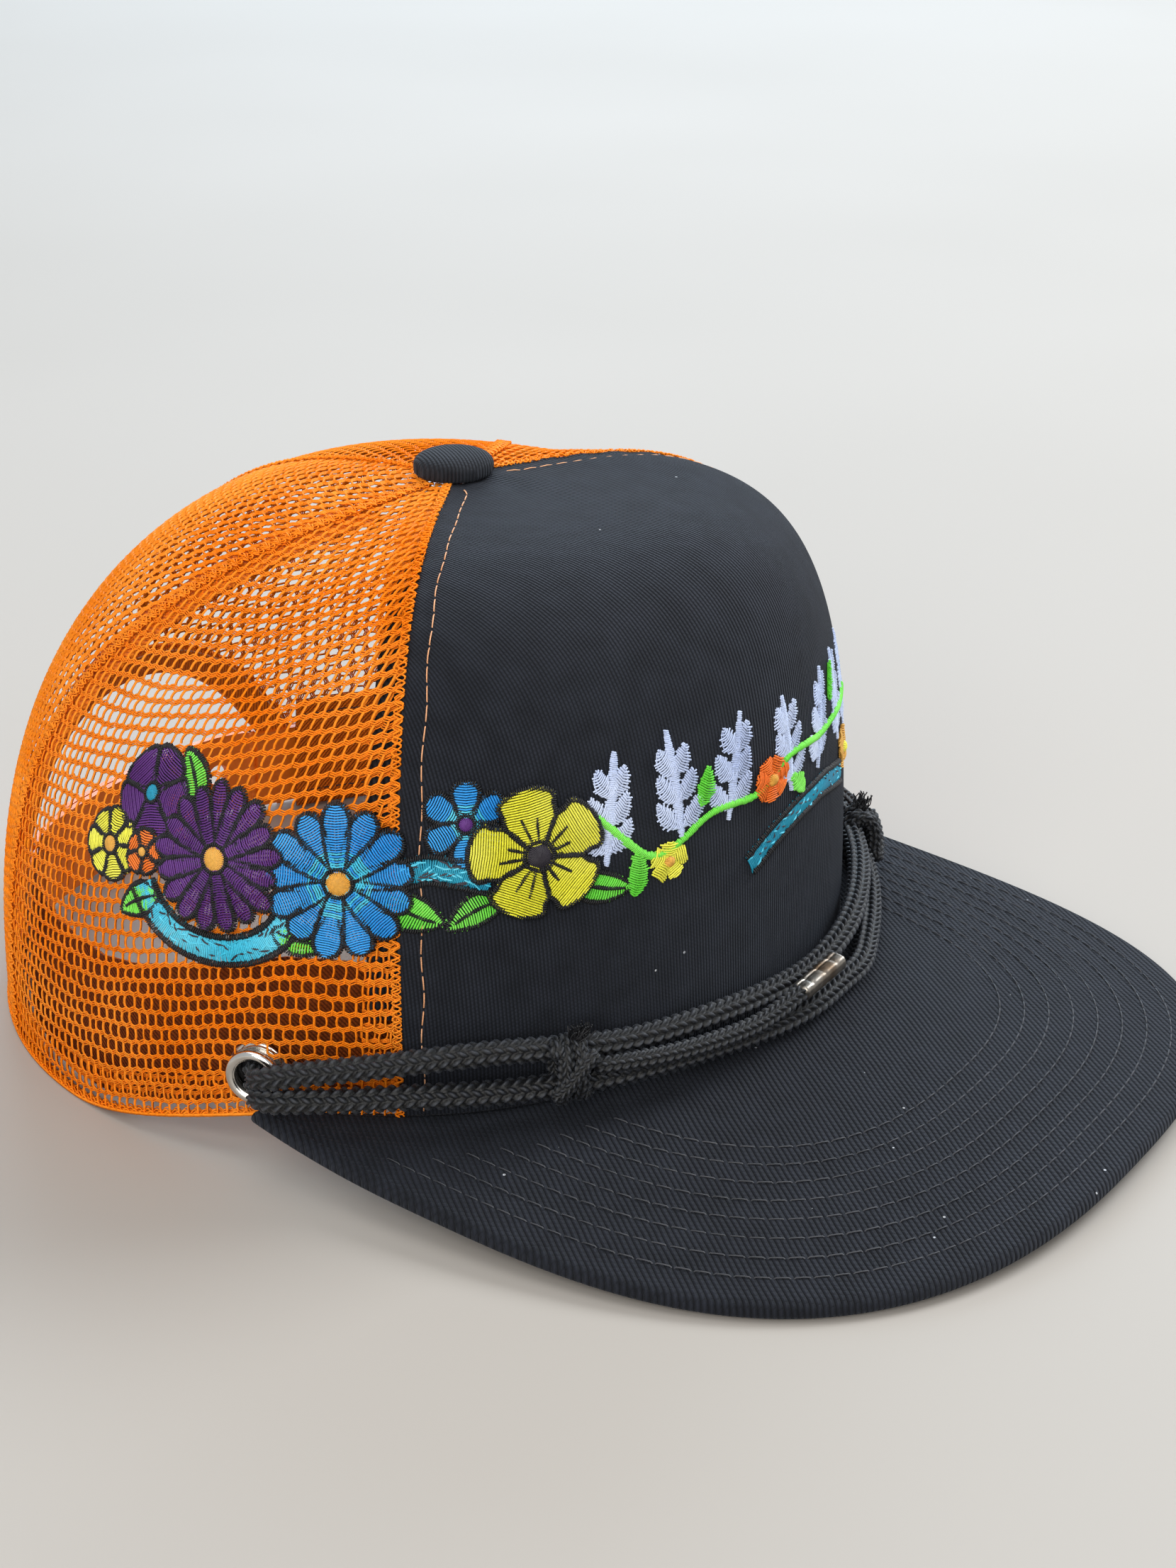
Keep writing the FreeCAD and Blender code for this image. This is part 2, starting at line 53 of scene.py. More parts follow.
def runLength(points):
    return np.concatenate([[0], np.cumsum(np.linalg.norm(np.diff(points, axis=0), axis=-1))])


def pointsAt(where, along, line):
    return np.stack([np.interp(where, along, line[:, n]) for n in range(line.shape[1])], -1)


def bisect(low, high, steps, below):
    for _ in range(steps):
        mid = (low + high) / 2
        inside = below(mid)
        low, high = np.where(inside, mid, low), np.where(inside, high, mid)
    return low


# Camera, floor and soft lights

cameraPlan = dict(azimuth=-56.43, elevation=24.0, distance=0.60617, roll=-0.18, lens=67.15,
                  target=(0.01265, -0.03338, 0.04347))
lightPlan = dict(
    key=dict(place=(1.60, -0.75, 1.45), size=1.0, power=46.0, tint=(0.90, 0.95, 1.0)),
    back=dict(place=(1.75, 1.15, 1.05), size=1.4, power=33.0, tint=(0.66, 0.83, 1.0)),
    fill=dict(place=(-1.90, -0.80, 1.20), size=1.8, power=44.0, tint=(1.0, 0.97, 0.93)),
    top=dict(place=(-0.3, 0.35, 2.2), size=1.6, power=14.0, tint=(1.0, 0.99, 0.97)))


def addCamera():
    data = bpy.data.cameras.new("camera")
    data.lens = cameraPlan["lens"]
    data.sensor_width = 36
    camera = addObject("camera", data)
    a, e = math.radians(cameraPlan["azimuth"]), math.radians(cameraPlan["elevation"])
    away = Vector((math.sin(a) * math.cos(e), -math.cos(a) * math.cos(e), math.sin(e)))
    camera.location = Vector(cameraPlan["target"]) + away * cameraPlan["distance"]
    turn = (-away).to_track_quat("-Z", "Y").to_matrix().to_4x4()
    turn = turn @ Matrix.Rotation(math.radians(cameraPlan["roll"]), 4, "Z")
    camera.rotation_euler = turn.to_euler()
    data.clip_start, data.clip_end = 0.02, 20
    bpy.context.scene.camera = camera


def addLights():
    for name, plan in lightPlan.items():
        data = bpy.data.lights.new(name, "AREA")
        data.energy, data.size, data.color = plan["power"], plan["size"], plan["tint"]
        lamp = addObject(name, data)
        lamp.location = plan["place"]
        aim = Vector((0, -0.03, 0.04)) - Vector(plan["place"])
        lamp.rotation_euler = aim.to_track_quat("-Z", "Y").to_euler()
    world = bpy.data.worlds.new("studio")
    bpy.context.scene.world = world
    bpy.context.scene.view_settings.view_transform = "Standard"
    world.use_nodes = True
    world.node_tree.nodes["Background"].inputs["Color"].default_value = (0.86, 0.90, 0.95, 1)
    world.node_tree.nodes["Background"].inputs["Strength"].default_value = 0.62


# Shader groups and materials

def node(tree, kind, **settings):
    made = tree.nodes.new(kind)
    for key, value in settings.items():
        setattr(made, key, value)
    return made


def plug(tree, socket, value):
    if isinstance(value, bpy.types.NodeSocket):
        tree.links.new(value, socket)
    else:
        socket.default_value = value


def calc(tree, operation, *values):
    made = node(tree, "ShaderNodeMath", operation=operation)
    for socket, value in zip(made.inputs, values):
        plug(tree, socket, value)
    return made.outputs[0]


def noise(tree, vector, scale, detail=2.0, rough=0.5):
    made = node(tree, "ShaderNodeTexNoise")
    plug(tree, made.inputs["Vector"], vector)
    plug(tree, made.inputs["Scale"], scale)
    made.inputs["Detail"].default_value = detail
    made.inputs["Roughness"].default_value = rough
    return made.outputs["Fac"]


def remap(tree, value, low, high, toLow=0.0, toHigh=1.0):
    made = node(tree, "ShaderNodeMapRange")
    for name, v in (("Value", value), ("From Min", low), ("From Max", high),
                    ("To Min", toLow), ("To Max", toHigh)):
        plug(tree, made.inputs[name], v)
    return made.outputs["Result"]


def group(name, inputs, outputs):
    tree = bpy.data.node_groups.new(name, "ShaderNodeTree")
    for label, kind, default in inputs:
        made = tree.interface.new_socket(label, in_out="INPUT", socket_type=kind)
        if default is not None:
            made.default_value = default
    for label in outputs:
        tree.interface.new_socket(label, in_out="OUTPUT", socket_type="NodeSocketFloat")
    return tree, node(tree, "NodeGroupInput").outputs, node(tree, "NodeGroupOutput").inputs


def makeTwill():
    tree, given, out = group("twillWeave", [
        ("Vector", "NodeSocketVector", None), ("Rib Pitch", "NodeSocketFloat", 0.0006),
        ("Angle", "NodeSocketFloat", 0.0), ("Unevenness", "NodeSocketFloat", 0.3)],
        ["Height", "Shade"])
    turn = node(tree, "ShaderNodeVectorRotate", rotation_type="Z_AXIS")
    plug(tree, turn.inputs["Vector"], given["Vector"])
    plug(tree, turn.inputs["Angle"], given["Angle"])
    wander = noise(tree, given["Vector"], 160.0, 2.0)
    split = node(tree, "ShaderNodeSeparateXYZ")
    plug(tree, split.inputs[0], turn.outputs[0])
    across = calc(tree, "DIVIDE", split.outputs["X"], given["Rib Pitch"])
    drift = calc(tree, "MULTIPLY", wander, given["Unevenness"])
    across = calc(tree, "ADD", across, drift)
    rib = calc(tree, "PINGPONG", across, 0.5)
    rib = calc(tree, "MULTIPLY", rib, 2.0)
    rib = calc(tree, "POWER", rib, 0.6)
    lane = calc(tree, "FLOOR", across)
    along = calc(tree, "DIVIDE", split.outputs["Y"], given["Rib Pitch"])
    along = calc(tree, "ADD", calc(tree, "MULTIPLY", along, 0.9), calc(tree, "MULTIPLY", lane, 0.37))
    yarn = calc(tree, "MULTIPLY", calc(tree, "PINGPONG", along, 0.5), 2.0)
    yarn = calc(tree, "POWER", yarn, 0.5)
    fibre = noise(tree, given["Vector"], 2600.0, 3.0, 0.6)
    height = calc(tree, "MULTIPLY", rib, remap(tree, yarn, 0.0, 1.0, 0.62, 1.0))
    height = calc(tree, "ADD", height, calc(tree, "MULTIPLY", fibre, 0.30))
    plug(tree, out["Height"], height)
    plug(tree, out["Shade"], calc(tree, "MULTIPLY", height, remap(tree, wander, 0.3, 0.7, 0.75, 1.15)))
    return tree


def makeFibre():
    tree, given, out = group("threadFibre", [
        ("Vector", "NodeSocketVector", None), ("Scale", "NodeSocketFloat", 1500.0),
        ("Patchiness", "NodeSocketFloat", 60.0)], ["Height", "Shade", "Patch"])
    fine = noise(tree, given["Vector"], given["Scale"], 3.0, 0.65)
    patch = noise(tree, given["Vector"], given["Patchiness"], 2.0, 0.5)
    plug(tree, out["Height"], fine)
    plug(tree, out["Patch"], remap(tree, patch, 0.35, 0.65))
    plug(tree, out["Shade"], calc(tree, "ADD", calc(tree, "MULTIPLY", fine, 0.6),
                                 calc(tree, "MULTIPLY", patch, 0.4)))
    return tree


def makeLint():
    tree, given, out = group("lintSpecks", [
        ("Vector", "NodeSocketVector", None), ("Spacing", "NodeSocketFloat", 0.006),
        ("Size", "NodeSocketFloat", 0.045), ("Share", "NodeSocketFloat", 0.35)], ["Mask"])
    cells = node(tree, "ShaderNodeTexVoronoi", feature="F1")
    plug(tree, cells.inputs["Vector"], given["Vector"])
    plug(tree, cells.inputs["Scale"], calc(tree, "DIVIDE", 1.0, given["Spacing"]))
    near = calc(tree, "LESS_THAN", cells.outputs["Distance"], given["Size"])
    pick = node(tree, "ShaderNodeSeparateColor")
    plug(tree, pick.inputs[0], cells.outputs["Color"])
    some = calc(tree, "LESS_THAN", pick.outputs[0], given["Share"])
    plug(tree, out["Mask"], calc(tree, "MULTIPLY", near, some))
    return tree


groups = dict(twill=makeTwill(), fibre=makeFibre(), lint=makeLint())


def newMaterial(name, roughness, metallic=0.0, sheen=0.0, sheenTint=(1, 1, 1), coat=0.0, specular=0.5):
    material = bpy.data.materials.new(name)
    material.use_nodes = True
    tree = material.node_tree
    shader = tree.nodes["Principled BSDF"]
    shader.inputs["Roughness"].default_value = roughness
    shader.inputs["Metallic"].default_value = metallic
    shader.inputs["Sheen Weight"].default_value = sheen
    shader.inputs["Sheen Roughness"].default_value = 0.45
    shader.inputs["Sheen Tint"].default_value = (*sheenTint, 1)
    shader.inputs["Coat Weight"].default_value = coat
    shader.inputs["Specular IOR Level"].default_value = specular
    return material, tree, shader


def useGroup(tree, name, vector, **values):
    made = node(tree, "ShaderNodeGroup", node_tree=groups[name])
    plug(tree, made.inputs["Vector"], vector)
    for key, value in values.items():
        plug(tree, made.inputs[key.replace("_", " ")], value)
    return made.outputs


def blendColour(tree, factor, first, second):
    made = node(tree, "ShaderNodeMix", data_type="RGBA")
    plug(tree, made.inputs["Factor"], factor)
    for socket, value in ((made.inputs[6], first), (made.inputs[7], second)):
        plug(tree, socket, value if isinstance(value, bpy.types.NodeSocket) else (*value, 1))
    return made.outputs[2]


def addBump(tree, shader, height, depth, strength=1.0):
    made = node(tree, "ShaderNodeBump")
    made.inputs["Strength"].default_value = strength
    made.inputs["Distance"].default_value = depth
    plug(tree, made.inputs["Height"], height)
    plug(tree, shader.inputs["Normal"], made.outputs[0])


def twillMaterial(name, dark, light, pitch, angle, uvMap, depth=0.00035, lint=0.0, roughness=0.82,
                  sheen=0.06):
    material, tree, shader = newMaterial(name, roughness, sheen=sheen, sheenTint=(0.72, 0.82, 1.0),
                                         specular=0.18)
    if uvMap:
        place = node(tree, "ShaderNodeUVMap", uv_map=uvMap).outputs[0]
    else:
        place = node(tree, "ShaderNodeTexCoord").outputs["Object"]
    weave = useGroup(tree, "twill", place, Rib_Pitch=pitch, Angle=angle)
    colour = blendColour(tree, remap(tree, weave["Shade"], 0.15, 1.15), dark, light)
    if lint:
        body = node(tree, "ShaderNodeTexCoord").outputs["Object"]
        specks = useGroup(tree, "lint", body, Share=lint)
        colour = blendColour(tree, specks["Mask"], colour, (0.42, 0.43, 0.45))
    plug(tree, shader.inputs["Base Color"], colour)
    addBump(tree, shader, weave["Height"], depth)
    return material


def threadMaterial(name, colour, pale, roughness=0.55, sheen=0.25, depth=0.00008, scale=1900.0,
                   patchiness=60.0, specular=0.4):
    material, tree, shader = newMaterial(name, roughness, sheen=sheen, sheenTint=pale, specular=specular)
    place = node(tree, "ShaderNodeTexCoord").outputs["Object"]
    fibre = useGroup(tree, "fibre", place, Scale=scale, Patchiness=patchiness)
    deep = tuple(c * 0.62 for c in colour)
    tone = blendColour(tree, remap(tree, fibre["Height"], 0.3, 0.7), deep, colour)
    tone = blendColour(tree, calc(tree, "MULTIPLY", fibre["Patch"], 0.35), tone, pale)
    plug(tree, shader.inputs["Base Color"], tone)
    plug(tree, shader.inputs["Roughness"], remap(tree, fibre["Shade"], 0.3, 0.7, roughness - 0.08,
                                                 roughness + 0.12))
    addBump(tree, shader, fibre["Height"], depth)
    return material


def cordMaterial():
    material, tree, shader = newMaterial("blackCord", 0.5, sheen=0.05, sheenTint=(0.8, 0.86, 1.0),
                                         specular=0.45)
    place = node(tree, "ShaderNodeTexCoord").outputs["Object"]
    relief = node(tree, "ShaderNodeAttribute", attribute_name="relief").outputs["Fac"]
    fibre = useGroup(tree, "fibre", place, Scale=2400.0, Patchiness=90.0)
    # painted shade and highlight: the braid's colour follows its relief attribute, near black in the valleys
    # between bumps and lighter on the crests, and fibre streaks on the crests add a painted highlight colour
    paintedReliefShade = remap(tree, relief, 0.42, 1.0)
    tone = blendColour(tree, paintedReliefShade, (0.0003, 0.0003, 0.0004), (0.019, 0.022, 0.029))
    paintedCrestHighlight = calc(tree, "MULTIPLY", calc(tree, "MULTIPLY", fibre["Height"], 0.4), paintedReliefShade)
    tone = blendColour(tree, paintedCrestHighlight, tone, (0.055, 0.060, 0.072))
    plug(tree, shader.inputs["Base Color"], tone)
    addBump(tree, shader, fibre["Height"], 0.00016)
    return material


def metalMaterial(name, colour, tarnish, roughness):
    material, tree, shader = newMaterial(name, roughness, metallic=1.0)
    place = node(tree, "ShaderNodeTexCoord").outputs["Object"]
    fibre = useGroup(tree, "fibre", place, Scale=900.0, Patchiness=140.0)
    plug(tree, shader.inputs["Base Color"], blendColour(tree, fibre["Patch"], colour, tarnish))
    plug(tree, shader.inputs["Roughness"], remap(tree, fibre["Shade"], 0.3, 0.7, roughness * 0.7,
                                                 roughness * 1.5))
    addBump(tree, shader, fibre["Height"], 0.00002)
    return material


def plasticMaterial(name, colour, pale, roughness):
    material, tree, shader = newMaterial(name, roughness, specular=0.5)
    place = node(tree, "ShaderNodeTexCoord").outputs["Object"]
    fibre = useGroup(tree, "fibre", place, Scale=1400.0, Patchiness=70.0)
    plug(tree, shader.inputs["Base Color"], blendColour(tree, fibre["Shade"], colour, pale))
    plug(tree, shader.inputs["Roughness"], remap(tree, fibre["Patch"], 0.0, 1.0, roughness,
                                                 roughness + 0.15))
    addBump(tree, shader, fibre["Height"], 0.00004)
    return material


finishes = dict(
    panel=twillMaterial("blackTwillPanel", (0.0012, 0.0014, 0.0022), (0.020, 0.023, 0.032), 0.00072, 0.06,
                        "weave", lint=0.10),
    visor=twillMaterial("blackTwillVisor", (0.0006, 0.0007, 0.0012), (0.0145, 0.0165, 0.0235), 0.00108, 0.66,
                        "weave", depth=0.0005, lint=0.22),
    button=twillMaterial("buttonTwill", (0.004, 0.004, 0.005), (0.022, 0.024, 0.03), 0.0007, 0.6, None,
                         lint=0.1),
    tape=twillMaterial("blackTape", (0.004, 0.004, 0.005), (0.03, 0.03, 0.034), 0.0008, 0.3, None),
    # painted shade: the sweatband's outer face, seen through the net, is a much darker brown-orange than its
    # lining so it stands in for the shade inside the cap
    sweatband=twillMaterial("sweatbandPaintedShadeFace", (0.10, 0.018, 0.002), (0.28, 0.060, 0.006), 0.0007, 0.78,
                            "weave", sheen=0.0),
    buckram=twillMaterial("buckram", (0.03, 0.03, 0.032), (0.11, 0.11, 0.115), 0.0011, 0.0, "weave",
                          depth=0.0003, sheen=0.05),
    net=threadMaterial("orangeNet", (1.0, 0.235, 0.004), (1.0, 0.40, 0.05), roughness=0.6, sheen=0.0,
                       scale=1500.0, patchiness=45.0, specular=0.08),
    netTape=twillMaterial("orangeTape", (0.62, 0.12, 0.004), (1.0, 0.27, 0.012), 0.0007, 0.2, None),
    lining=twillMaterial("sweatbandLining", (0.50, 0.095, 0.006), (0.95, 0.23, 0.012), 0.0007, 0.78, "weave",
                         sheen=0.0),
    peach=threadMaterial("peachThread", (0.80, 0.36, 0.16), (0.95, 0.60, 0.38)),
    blackThread=threadMaterial("blackThread", (0.004, 0.004, 0.005), (0.03, 0.03, 0.035), sheen=0.08),
    toneThread=threadMaterial("toneThread", (0.028, 0.030, 0.036), (0.08, 0.08, 0.09), sheen=0.1),
    violet=threadMaterial("violetThread", (0.085, 0.012, 0.155), (0.22, 0.08, 0.38), sheen=0.1),
    cord=cordMaterial(),
    nickel=metalMaterial("nickel", (0.72, 0.70, 0.66), (0.60, 0.57, 0.52), 0.16),
    crimp=metalMaterial("crimpMetal", (0.34, 0.31, 0.27), (0.16, 0.11, 0.07), 0.36),
    steel=metalMaterial("buttonSteel", (0.52, 0.52, 0.53), (0.4, 0.4, 0.41), 0.3),
    strap=plasticMaterial("strapPlastic", (0.78, 0.16, 0.006), (0.95, 0.25, 0.02), 0.34),
    board=plasticMaterial("boardPlastic", (0.55, 0.55, 0.54), (0.7, 0.7, 0.69), 0.5))
threadTones = dict(
    blue=((0.012, 0.30, 0.80), (0.10, 0.56, 0.98)),
    cyan=((0.04, 0.56, 0.78), (0.30, 0.86, 0.98)),
    teal=((0.004, 0.26, 0.42), (0.05, 0.50, 0.66)),
    gold=((0.74, 0.34, 0.035), (0.95, 0.60, 0.16)),
    yellow=((0.90, 0.86, 0.035), (1.0, 0.98, 0.22)),
    green=((0.14, 0.78, 0.045), (0.42, 0.97, 0.20)),
    lilac=((0.56, 0.66, 0.93), (0.84, 0.90, 1.0)),
    blossom=((0.95, 0.16, 0.010), (1.0, 0.36, 0.06)),
    heart=((0.022, 0.018, 0.026), (0.09, 0.08, 0.10)))
for colourName, tones in threadTones.items():
    finishes[colourName] = threadMaterial(colourName + "Thread", *tones, sheen=0.12)
print("finishes ready", len(finishes))

# Shape of the crown and the visor, millimetres

cap = dict(halfWidth=90.0, halfLength=88.0, height=110.0, buttonY=-10.0, frontSeam=56.0,
           rearSeam=124.0, rearShift=36.0, crease=4.5, creaseSpread=16.0, top=0.96,
           visorLevel=13.6, visorCamber=0.00094, visorPitch=0.100)


def smooth(t):
    t = np.clip(t, 0, 1)
    return t * t * (3 - 2 * t)


def visorZ(x, y):
    return cap["visorLevel"] - cap["visorCamber"] * x * x - cap["visorPitch"] * (-y - cap["halfLength"])


def rimPoint(phi):
    a = np.radians(phi)
    x, y = -cap["halfWidth"] * np.sin(a), -cap["halfLength"] * np.cos(a)
    lift = smooth((105 - np.abs(phi)) / 45)
    tuck = 1.6 * smooth((73 - np.abs(phi)) / 13)
    return np.stack([x, y, np.maximum(0, (visorZ(x, y) - tuck) * lift)], -1)


def crownPoint(phi, rise):
    phi, rise = np.broadcast_arrays(np.asarray(phi, float), np.asarray(rise, float))
    base = rimPoint(phi)
    cos2 = np.cos(np.radians(phi)) ** 2
    ahead = np.abs(phi) < 90
    p = np.where(ahead, 2.3 + 5.7 * cos2, 2.3 + 0.6 * cos2)
    q = np.where(ahead, 2.9 + 0.2 * cos2, 2.9 - 0.75 * cos2)
    c, s = np.cos(rise * np.pi / 2), np.sin(rise * np.pi / 2)
    low = bisect(np.zeros_like(c), np.full_like(c, 1.5), 24, lambda mid: (mid * c) ** p + (mid * s) ** q < 1)
    share = low * c
    point = np.stack([base[..., 0] * share,
                      cap["buttonY"] + (base[..., 1] - cap["buttonY"]) * share,
                      base[..., 2] + (cap["height"] - base[..., 2]) * low * s], -1)
    level = share ** p
    hump = (2 * np.sqrt(np.maximum(level * (1 - level), 0))) ** 1.5
    away = unit(point - np.array([0, cap["buttonY"], 0.45 * cap["height"]]))
    ridge = cap["crease"] * hump * np.exp(-(phi / cap["creaseSpread"]) ** 2)
    return point + away * ridge[..., None]


def crownNormal(phi, rise):
    across = crownPoint(phi + 0.5, rise) - crownPoint(phi - 0.5, rise)
    up = crownPoint(phi, np.minimum(rise + 0.004, 0.998)) - crownPoint(phi, np.maximum(rise - 0.004, 0))
    normal = np.cross(up, across)
    normal[..., 2] = np.where(rise < 0.02, 0, normal[..., 2])
    return unit(normal)


def onCrown(phi, rise, inset):
    phi, rise = np.broadcast_arrays(np.asarray(phi, float), np.asarray(rise, float))
    return crownPoint(phi, rise) - crownNormal(phi, rise) * np.asarray(inset, float)[..., None]


def rearSeam(rise):
    return cap["rearSeam"] - cap["rearShift"] * np.maximum(0, (rise - 0.3) / 0.7) ** 1.3


riseSteps = np.linspace(0, 0.93, 160)
phiSteps = np.arange(0, 181, 2.0)
zSteps = np.linspace(0, 106, 213)
riseTable = np.stack([np.interp(zSteps, row, riseSteps)
                      for row in crownPoint(phiSteps[:, None], riseSteps[None, :])[..., 2]])


def tableLook(table, u, v):
    u = np.clip(u, 0, table.shape[0] - 1.001)
    v = np.clip(v, 0, table.shape[1] - 1.001)
    i, j = u.astype(int), v.astype(int)
    fu, fv = u - i, v - j
    return ((table[i, j] * (1 - fu) + table[i + 1, j] * fu) * (1 - fv)
            + (table[i, j + 1] * (1 - fu) + table[i + 1, j + 1] * fu) * fv)


def riseAt(phi, z):
    phi, z = np.broadcast_arrays(np.asarray(phi, float), np.asarray(z, float))
    return tableLook(riseTable, np.abs(phi) / 2, z * 2)


def wallPoint(phi, z, inset):
    return onCrown(phi, riseAt(phi, z), inset)


# Turning arrays of points into pieces

def volumeSign(points, faces):
    total = 0.0
    for size in (3, 4):
        some = np.array([f for f in faces if len(f) == size])
        if len(some):
            for k in range(1, size - 1):
                a, b, c = (points[some[:, m]] for m in (0, k, k + 1))
                total += float(np.sum(np.cross(a, b) * c))
    return total


def settle(piece, material, stands=(), slot=None, body="crown"):
    if isinstance(material, str):
        material = finishes[material]
    piece.data.materials.clear()
    piece.data.materials.append(material)
    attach(piece, body)
    if stands:
        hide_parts(*stands)
    return piece


def linkMesh(name, points, faces, uv=None, relief=None):
    points = np.asarray(points, float)
    if volumeSign(points, faces) < 0:
        faces = [tuple(reversed(f)) for f in faces]
    mesh = bpy.data.meshes.new(name)
    mesh.from_pydata((points * mm).tolist(), [], faces)
    if uv is not None:
        layer = mesh.uv_layers.new(name="weave")
        corner = np.empty(len(mesh.loops), int)
        mesh.loops.foreach_get("vertex_index", corner)
        layer.data.foreach_set("uv", (np.asarray(uv)[corner] * mm).ravel())
    if relief is not None:
        mesh.attributes.new("relief", "FLOAT", "POINT").data.foreach_set("value", np.asarray(relief, float))
    mesh.polygons.foreach_set("use_smooth", np.ones(len(mesh.polygons), bool))
    mesh.update()
    return addObject(name, mesh)


def gridFaces(nu, nv, start=0, flip=False, closeU=False):
    i, j = np.meshgrid(np.arange(nu if closeU else nu - 1), np.arange(nv - 1), indexing="ij")
    i, j = i.ravel(), j.ravel()
    k = (i + 1) % nu
    quads = np.stack([i * nv + j, k * nv + j, k * nv + j + 1, i * nv + j + 1], -1) + start
    return [tuple(q) for q in (quads[:, ::-1] if flip else quads).tolist()]


def ringFaces(nu, nv, closeU=False):
    i, j = np.meshgrid(np.arange(nu if closeU else nu - 1), np.arange(nv), indexing="ij")
    i, j = i.ravel(), j.ravel()
    k, m = (i + 1) % nu, (j + 1) % nv
    return [tuple(q) for q in np.stack([i * nv + j, k * nv + j, k * nv + m, i * nv + m], -1).tolist()]


def poleFaces(sides, nr):
    faces = []
    for i in range(sides):
        k = (i + 1) % sides
        faces += [(sides * nr, k * nr, i * nr), (sides * nr + 1, i * nr + nr - 1, k * nr + nr - 1)]
    return faces


def clothShell(name, outer, inner, uv, material, **more):
    nu, nv = outer.shape[:2]
    points = np.concatenate([outer.reshape(-1, 3), inner.reshape(-1, 3)])
    count = nu * nv
    faces = gridFaces(nu, nv) + gridFaces(nu, nv, count, True)
    edge = ([(i, 0) for i in range(nu)] + [(nu - 1, j) for j in range(1, nv)]
            + [(i, nv - 1) for i in range(nu - 2, -1, -1)] + [(0, j) for j in range(nv - 2, 0, -1)])
    loop = [i * nv + j for i, j in edge]
    for a, b in zip(loop, loop[1:] + loop[:1]):
        faces.append((b, a, a + count, b + count))
    uvs = np.concatenate([uv.reshape(-1, 2)] * 2)
    return settle(linkMesh(name, points, faces, uvs), material, **more)


def borderFade(nu, nv, reach=1):
    i, j = np.meshgrid(np.arange(nu), np.arange(nv), indexing="ij")
    near = np.minimum(np.minimum(i, nu - 1 - i), np.minimum(j, nv - 1 - j))
    return np.clip(1 - near / reach, 0, 1)


def crownSheet(phiLow, phiHigh, riseLow, riseHigh, nu, nv):
    u, v = np.meshgrid(np.linspace(0, 1, nu), np.linspace(0, 1, nv), indexing="ij")
    rise = riseLow + (riseHigh - riseLow) * v
    low = phiLow(rise) if callable(phiLow) else phiLow
    high = phiHigh(rise) if callable(phiHigh) else phiHigh
    return low + (high - low) * u, rise


def sheetUv(points):
    du = np.linalg.norm(np.diff(points, axis=0), axis=-1)
    dv = np.linalg.norm(np.diff(points, axis=1), axis=-1)
    x = np.concatenate([np.zeros((1, points.shape[1])), np.cumsum(du, 0)])
    x = x - x[points.shape[0] // 2][None, :]
    y = np.concatenate([np.zeros((points.shape[0], 1)), np.cumsum(dv, 1)], 1)
    return np.stack([x, y], -1)


def lathe(name, centre, axis, profile, material, sides=64, **more):
    axis = unit(np.asarray(axis, float))
    side = unit(np.cross(axis, [0, 0, 1] if abs(axis[2]) < 0.9 else [1, 0, 0]))
    third = np.cross(axis, side)
    turn = np.linspace(0, 2 * np.pi, sides, endpoint=False)
    rings = np.asarray(profile, float)
    spokes = np.cos(turn)[:, None] * side + np.sin(turn)[:, None] * third
    points = (np.asarray(centre) + rings[None, :, 1, None] * axis
              + rings[None, :, 0, None] * spokes[:, None, :])
    nv = points.shape[1]
    if rings[0, 0] > 0.01:
        faces = ringFaces(sides, nv, True)
        flat = points.reshape(-1, 3)
    else:
        ring = points[:, 1:-1]
        flat = np.concatenate([ring.reshape(-1, 3), points[:1, 0], points[:1, -1]])
        faces = gridFaces(sides, nv - 2, closeU=True) + poleFaces(sides, nv - 2)
    return settle(linkMesh(name, flat, faces), material, **more)


# Threads: every stitch, knit loop and seam thread is a path turned into a fine tube

def makeThreadTree():
    tree = bpy.data.node_groups.new("threadTubes", "GeometryNodeTree")
    side = tree.interface
    side.new_socket("Paths", in_out="INPUT", socket_type="NodeSocketGeometry")
    side.new_socket("Sides", in_out="INPUT", socket_type="NodeSocketInt")
    side.new_socket("Thickness", in_out="INPUT", socket_type="NodeSocketFloat")
    side.new_socket("Finish", in_out="INPUT", socket_type="NodeSocketMaterial")
    side.new_socket("Threads", in_out="OUTPUT", socket_type="NodeSocketGeometry")
    given, out = node(tree, "NodeGroupInput").outputs, node(tree, "NodeGroupOutput").inputs
    lines = node(tree, "GeometryNodeMeshToCurve")
    ring = node(tree, "GeometryNodeCurvePrimitiveCircle", mode="RADIUS")
    size = node(tree, "GeometryNodeInputNamedAttribute", data_type="FLOAT")
    size.inputs["Name"].default_value = "radius"
    times = node(tree, "ShaderNodeMath", operation="MULTIPLY")
    tube = node(tree, "GeometryNodeCurveToMesh")
    soft = node(tree, "GeometryNodeSetShadeSmooth")
    real = node(tree, "GeometryNodeRealizeInstances")
    paint = node(tree, "GeometryNodeSetMaterial")
    ring.inputs["Radius"].default_value = mm
    tube.inputs["Fill Caps"].default_value = True
    for a, b in ((given["Paths"], lines.inputs["Mesh"]), (given["Sides"], ring.inputs["Resolution"]),
                 (size.outputs["Attribute"], times.inputs[0]), (given["Thickness"], times.inputs[1]),
                 (times.outputs[0], tube.inputs["Scale"]), (lines.outputs[0], tube.inputs["Curve"]),
                 (ring.outputs[0], tube.inputs["Profile Curve"]), (tube.outputs[0], soft.inputs[0]),
                 (soft.outputs[0], real.inputs[0]), (real.outputs[0], paint.inputs["Geometry"]),
                 (given["Finish"], paint.inputs["Material"]), (paint.outputs[0], out["Threads"])):
        tree.links.new(a, b)
    return tree


threadTree = makeThreadTree()


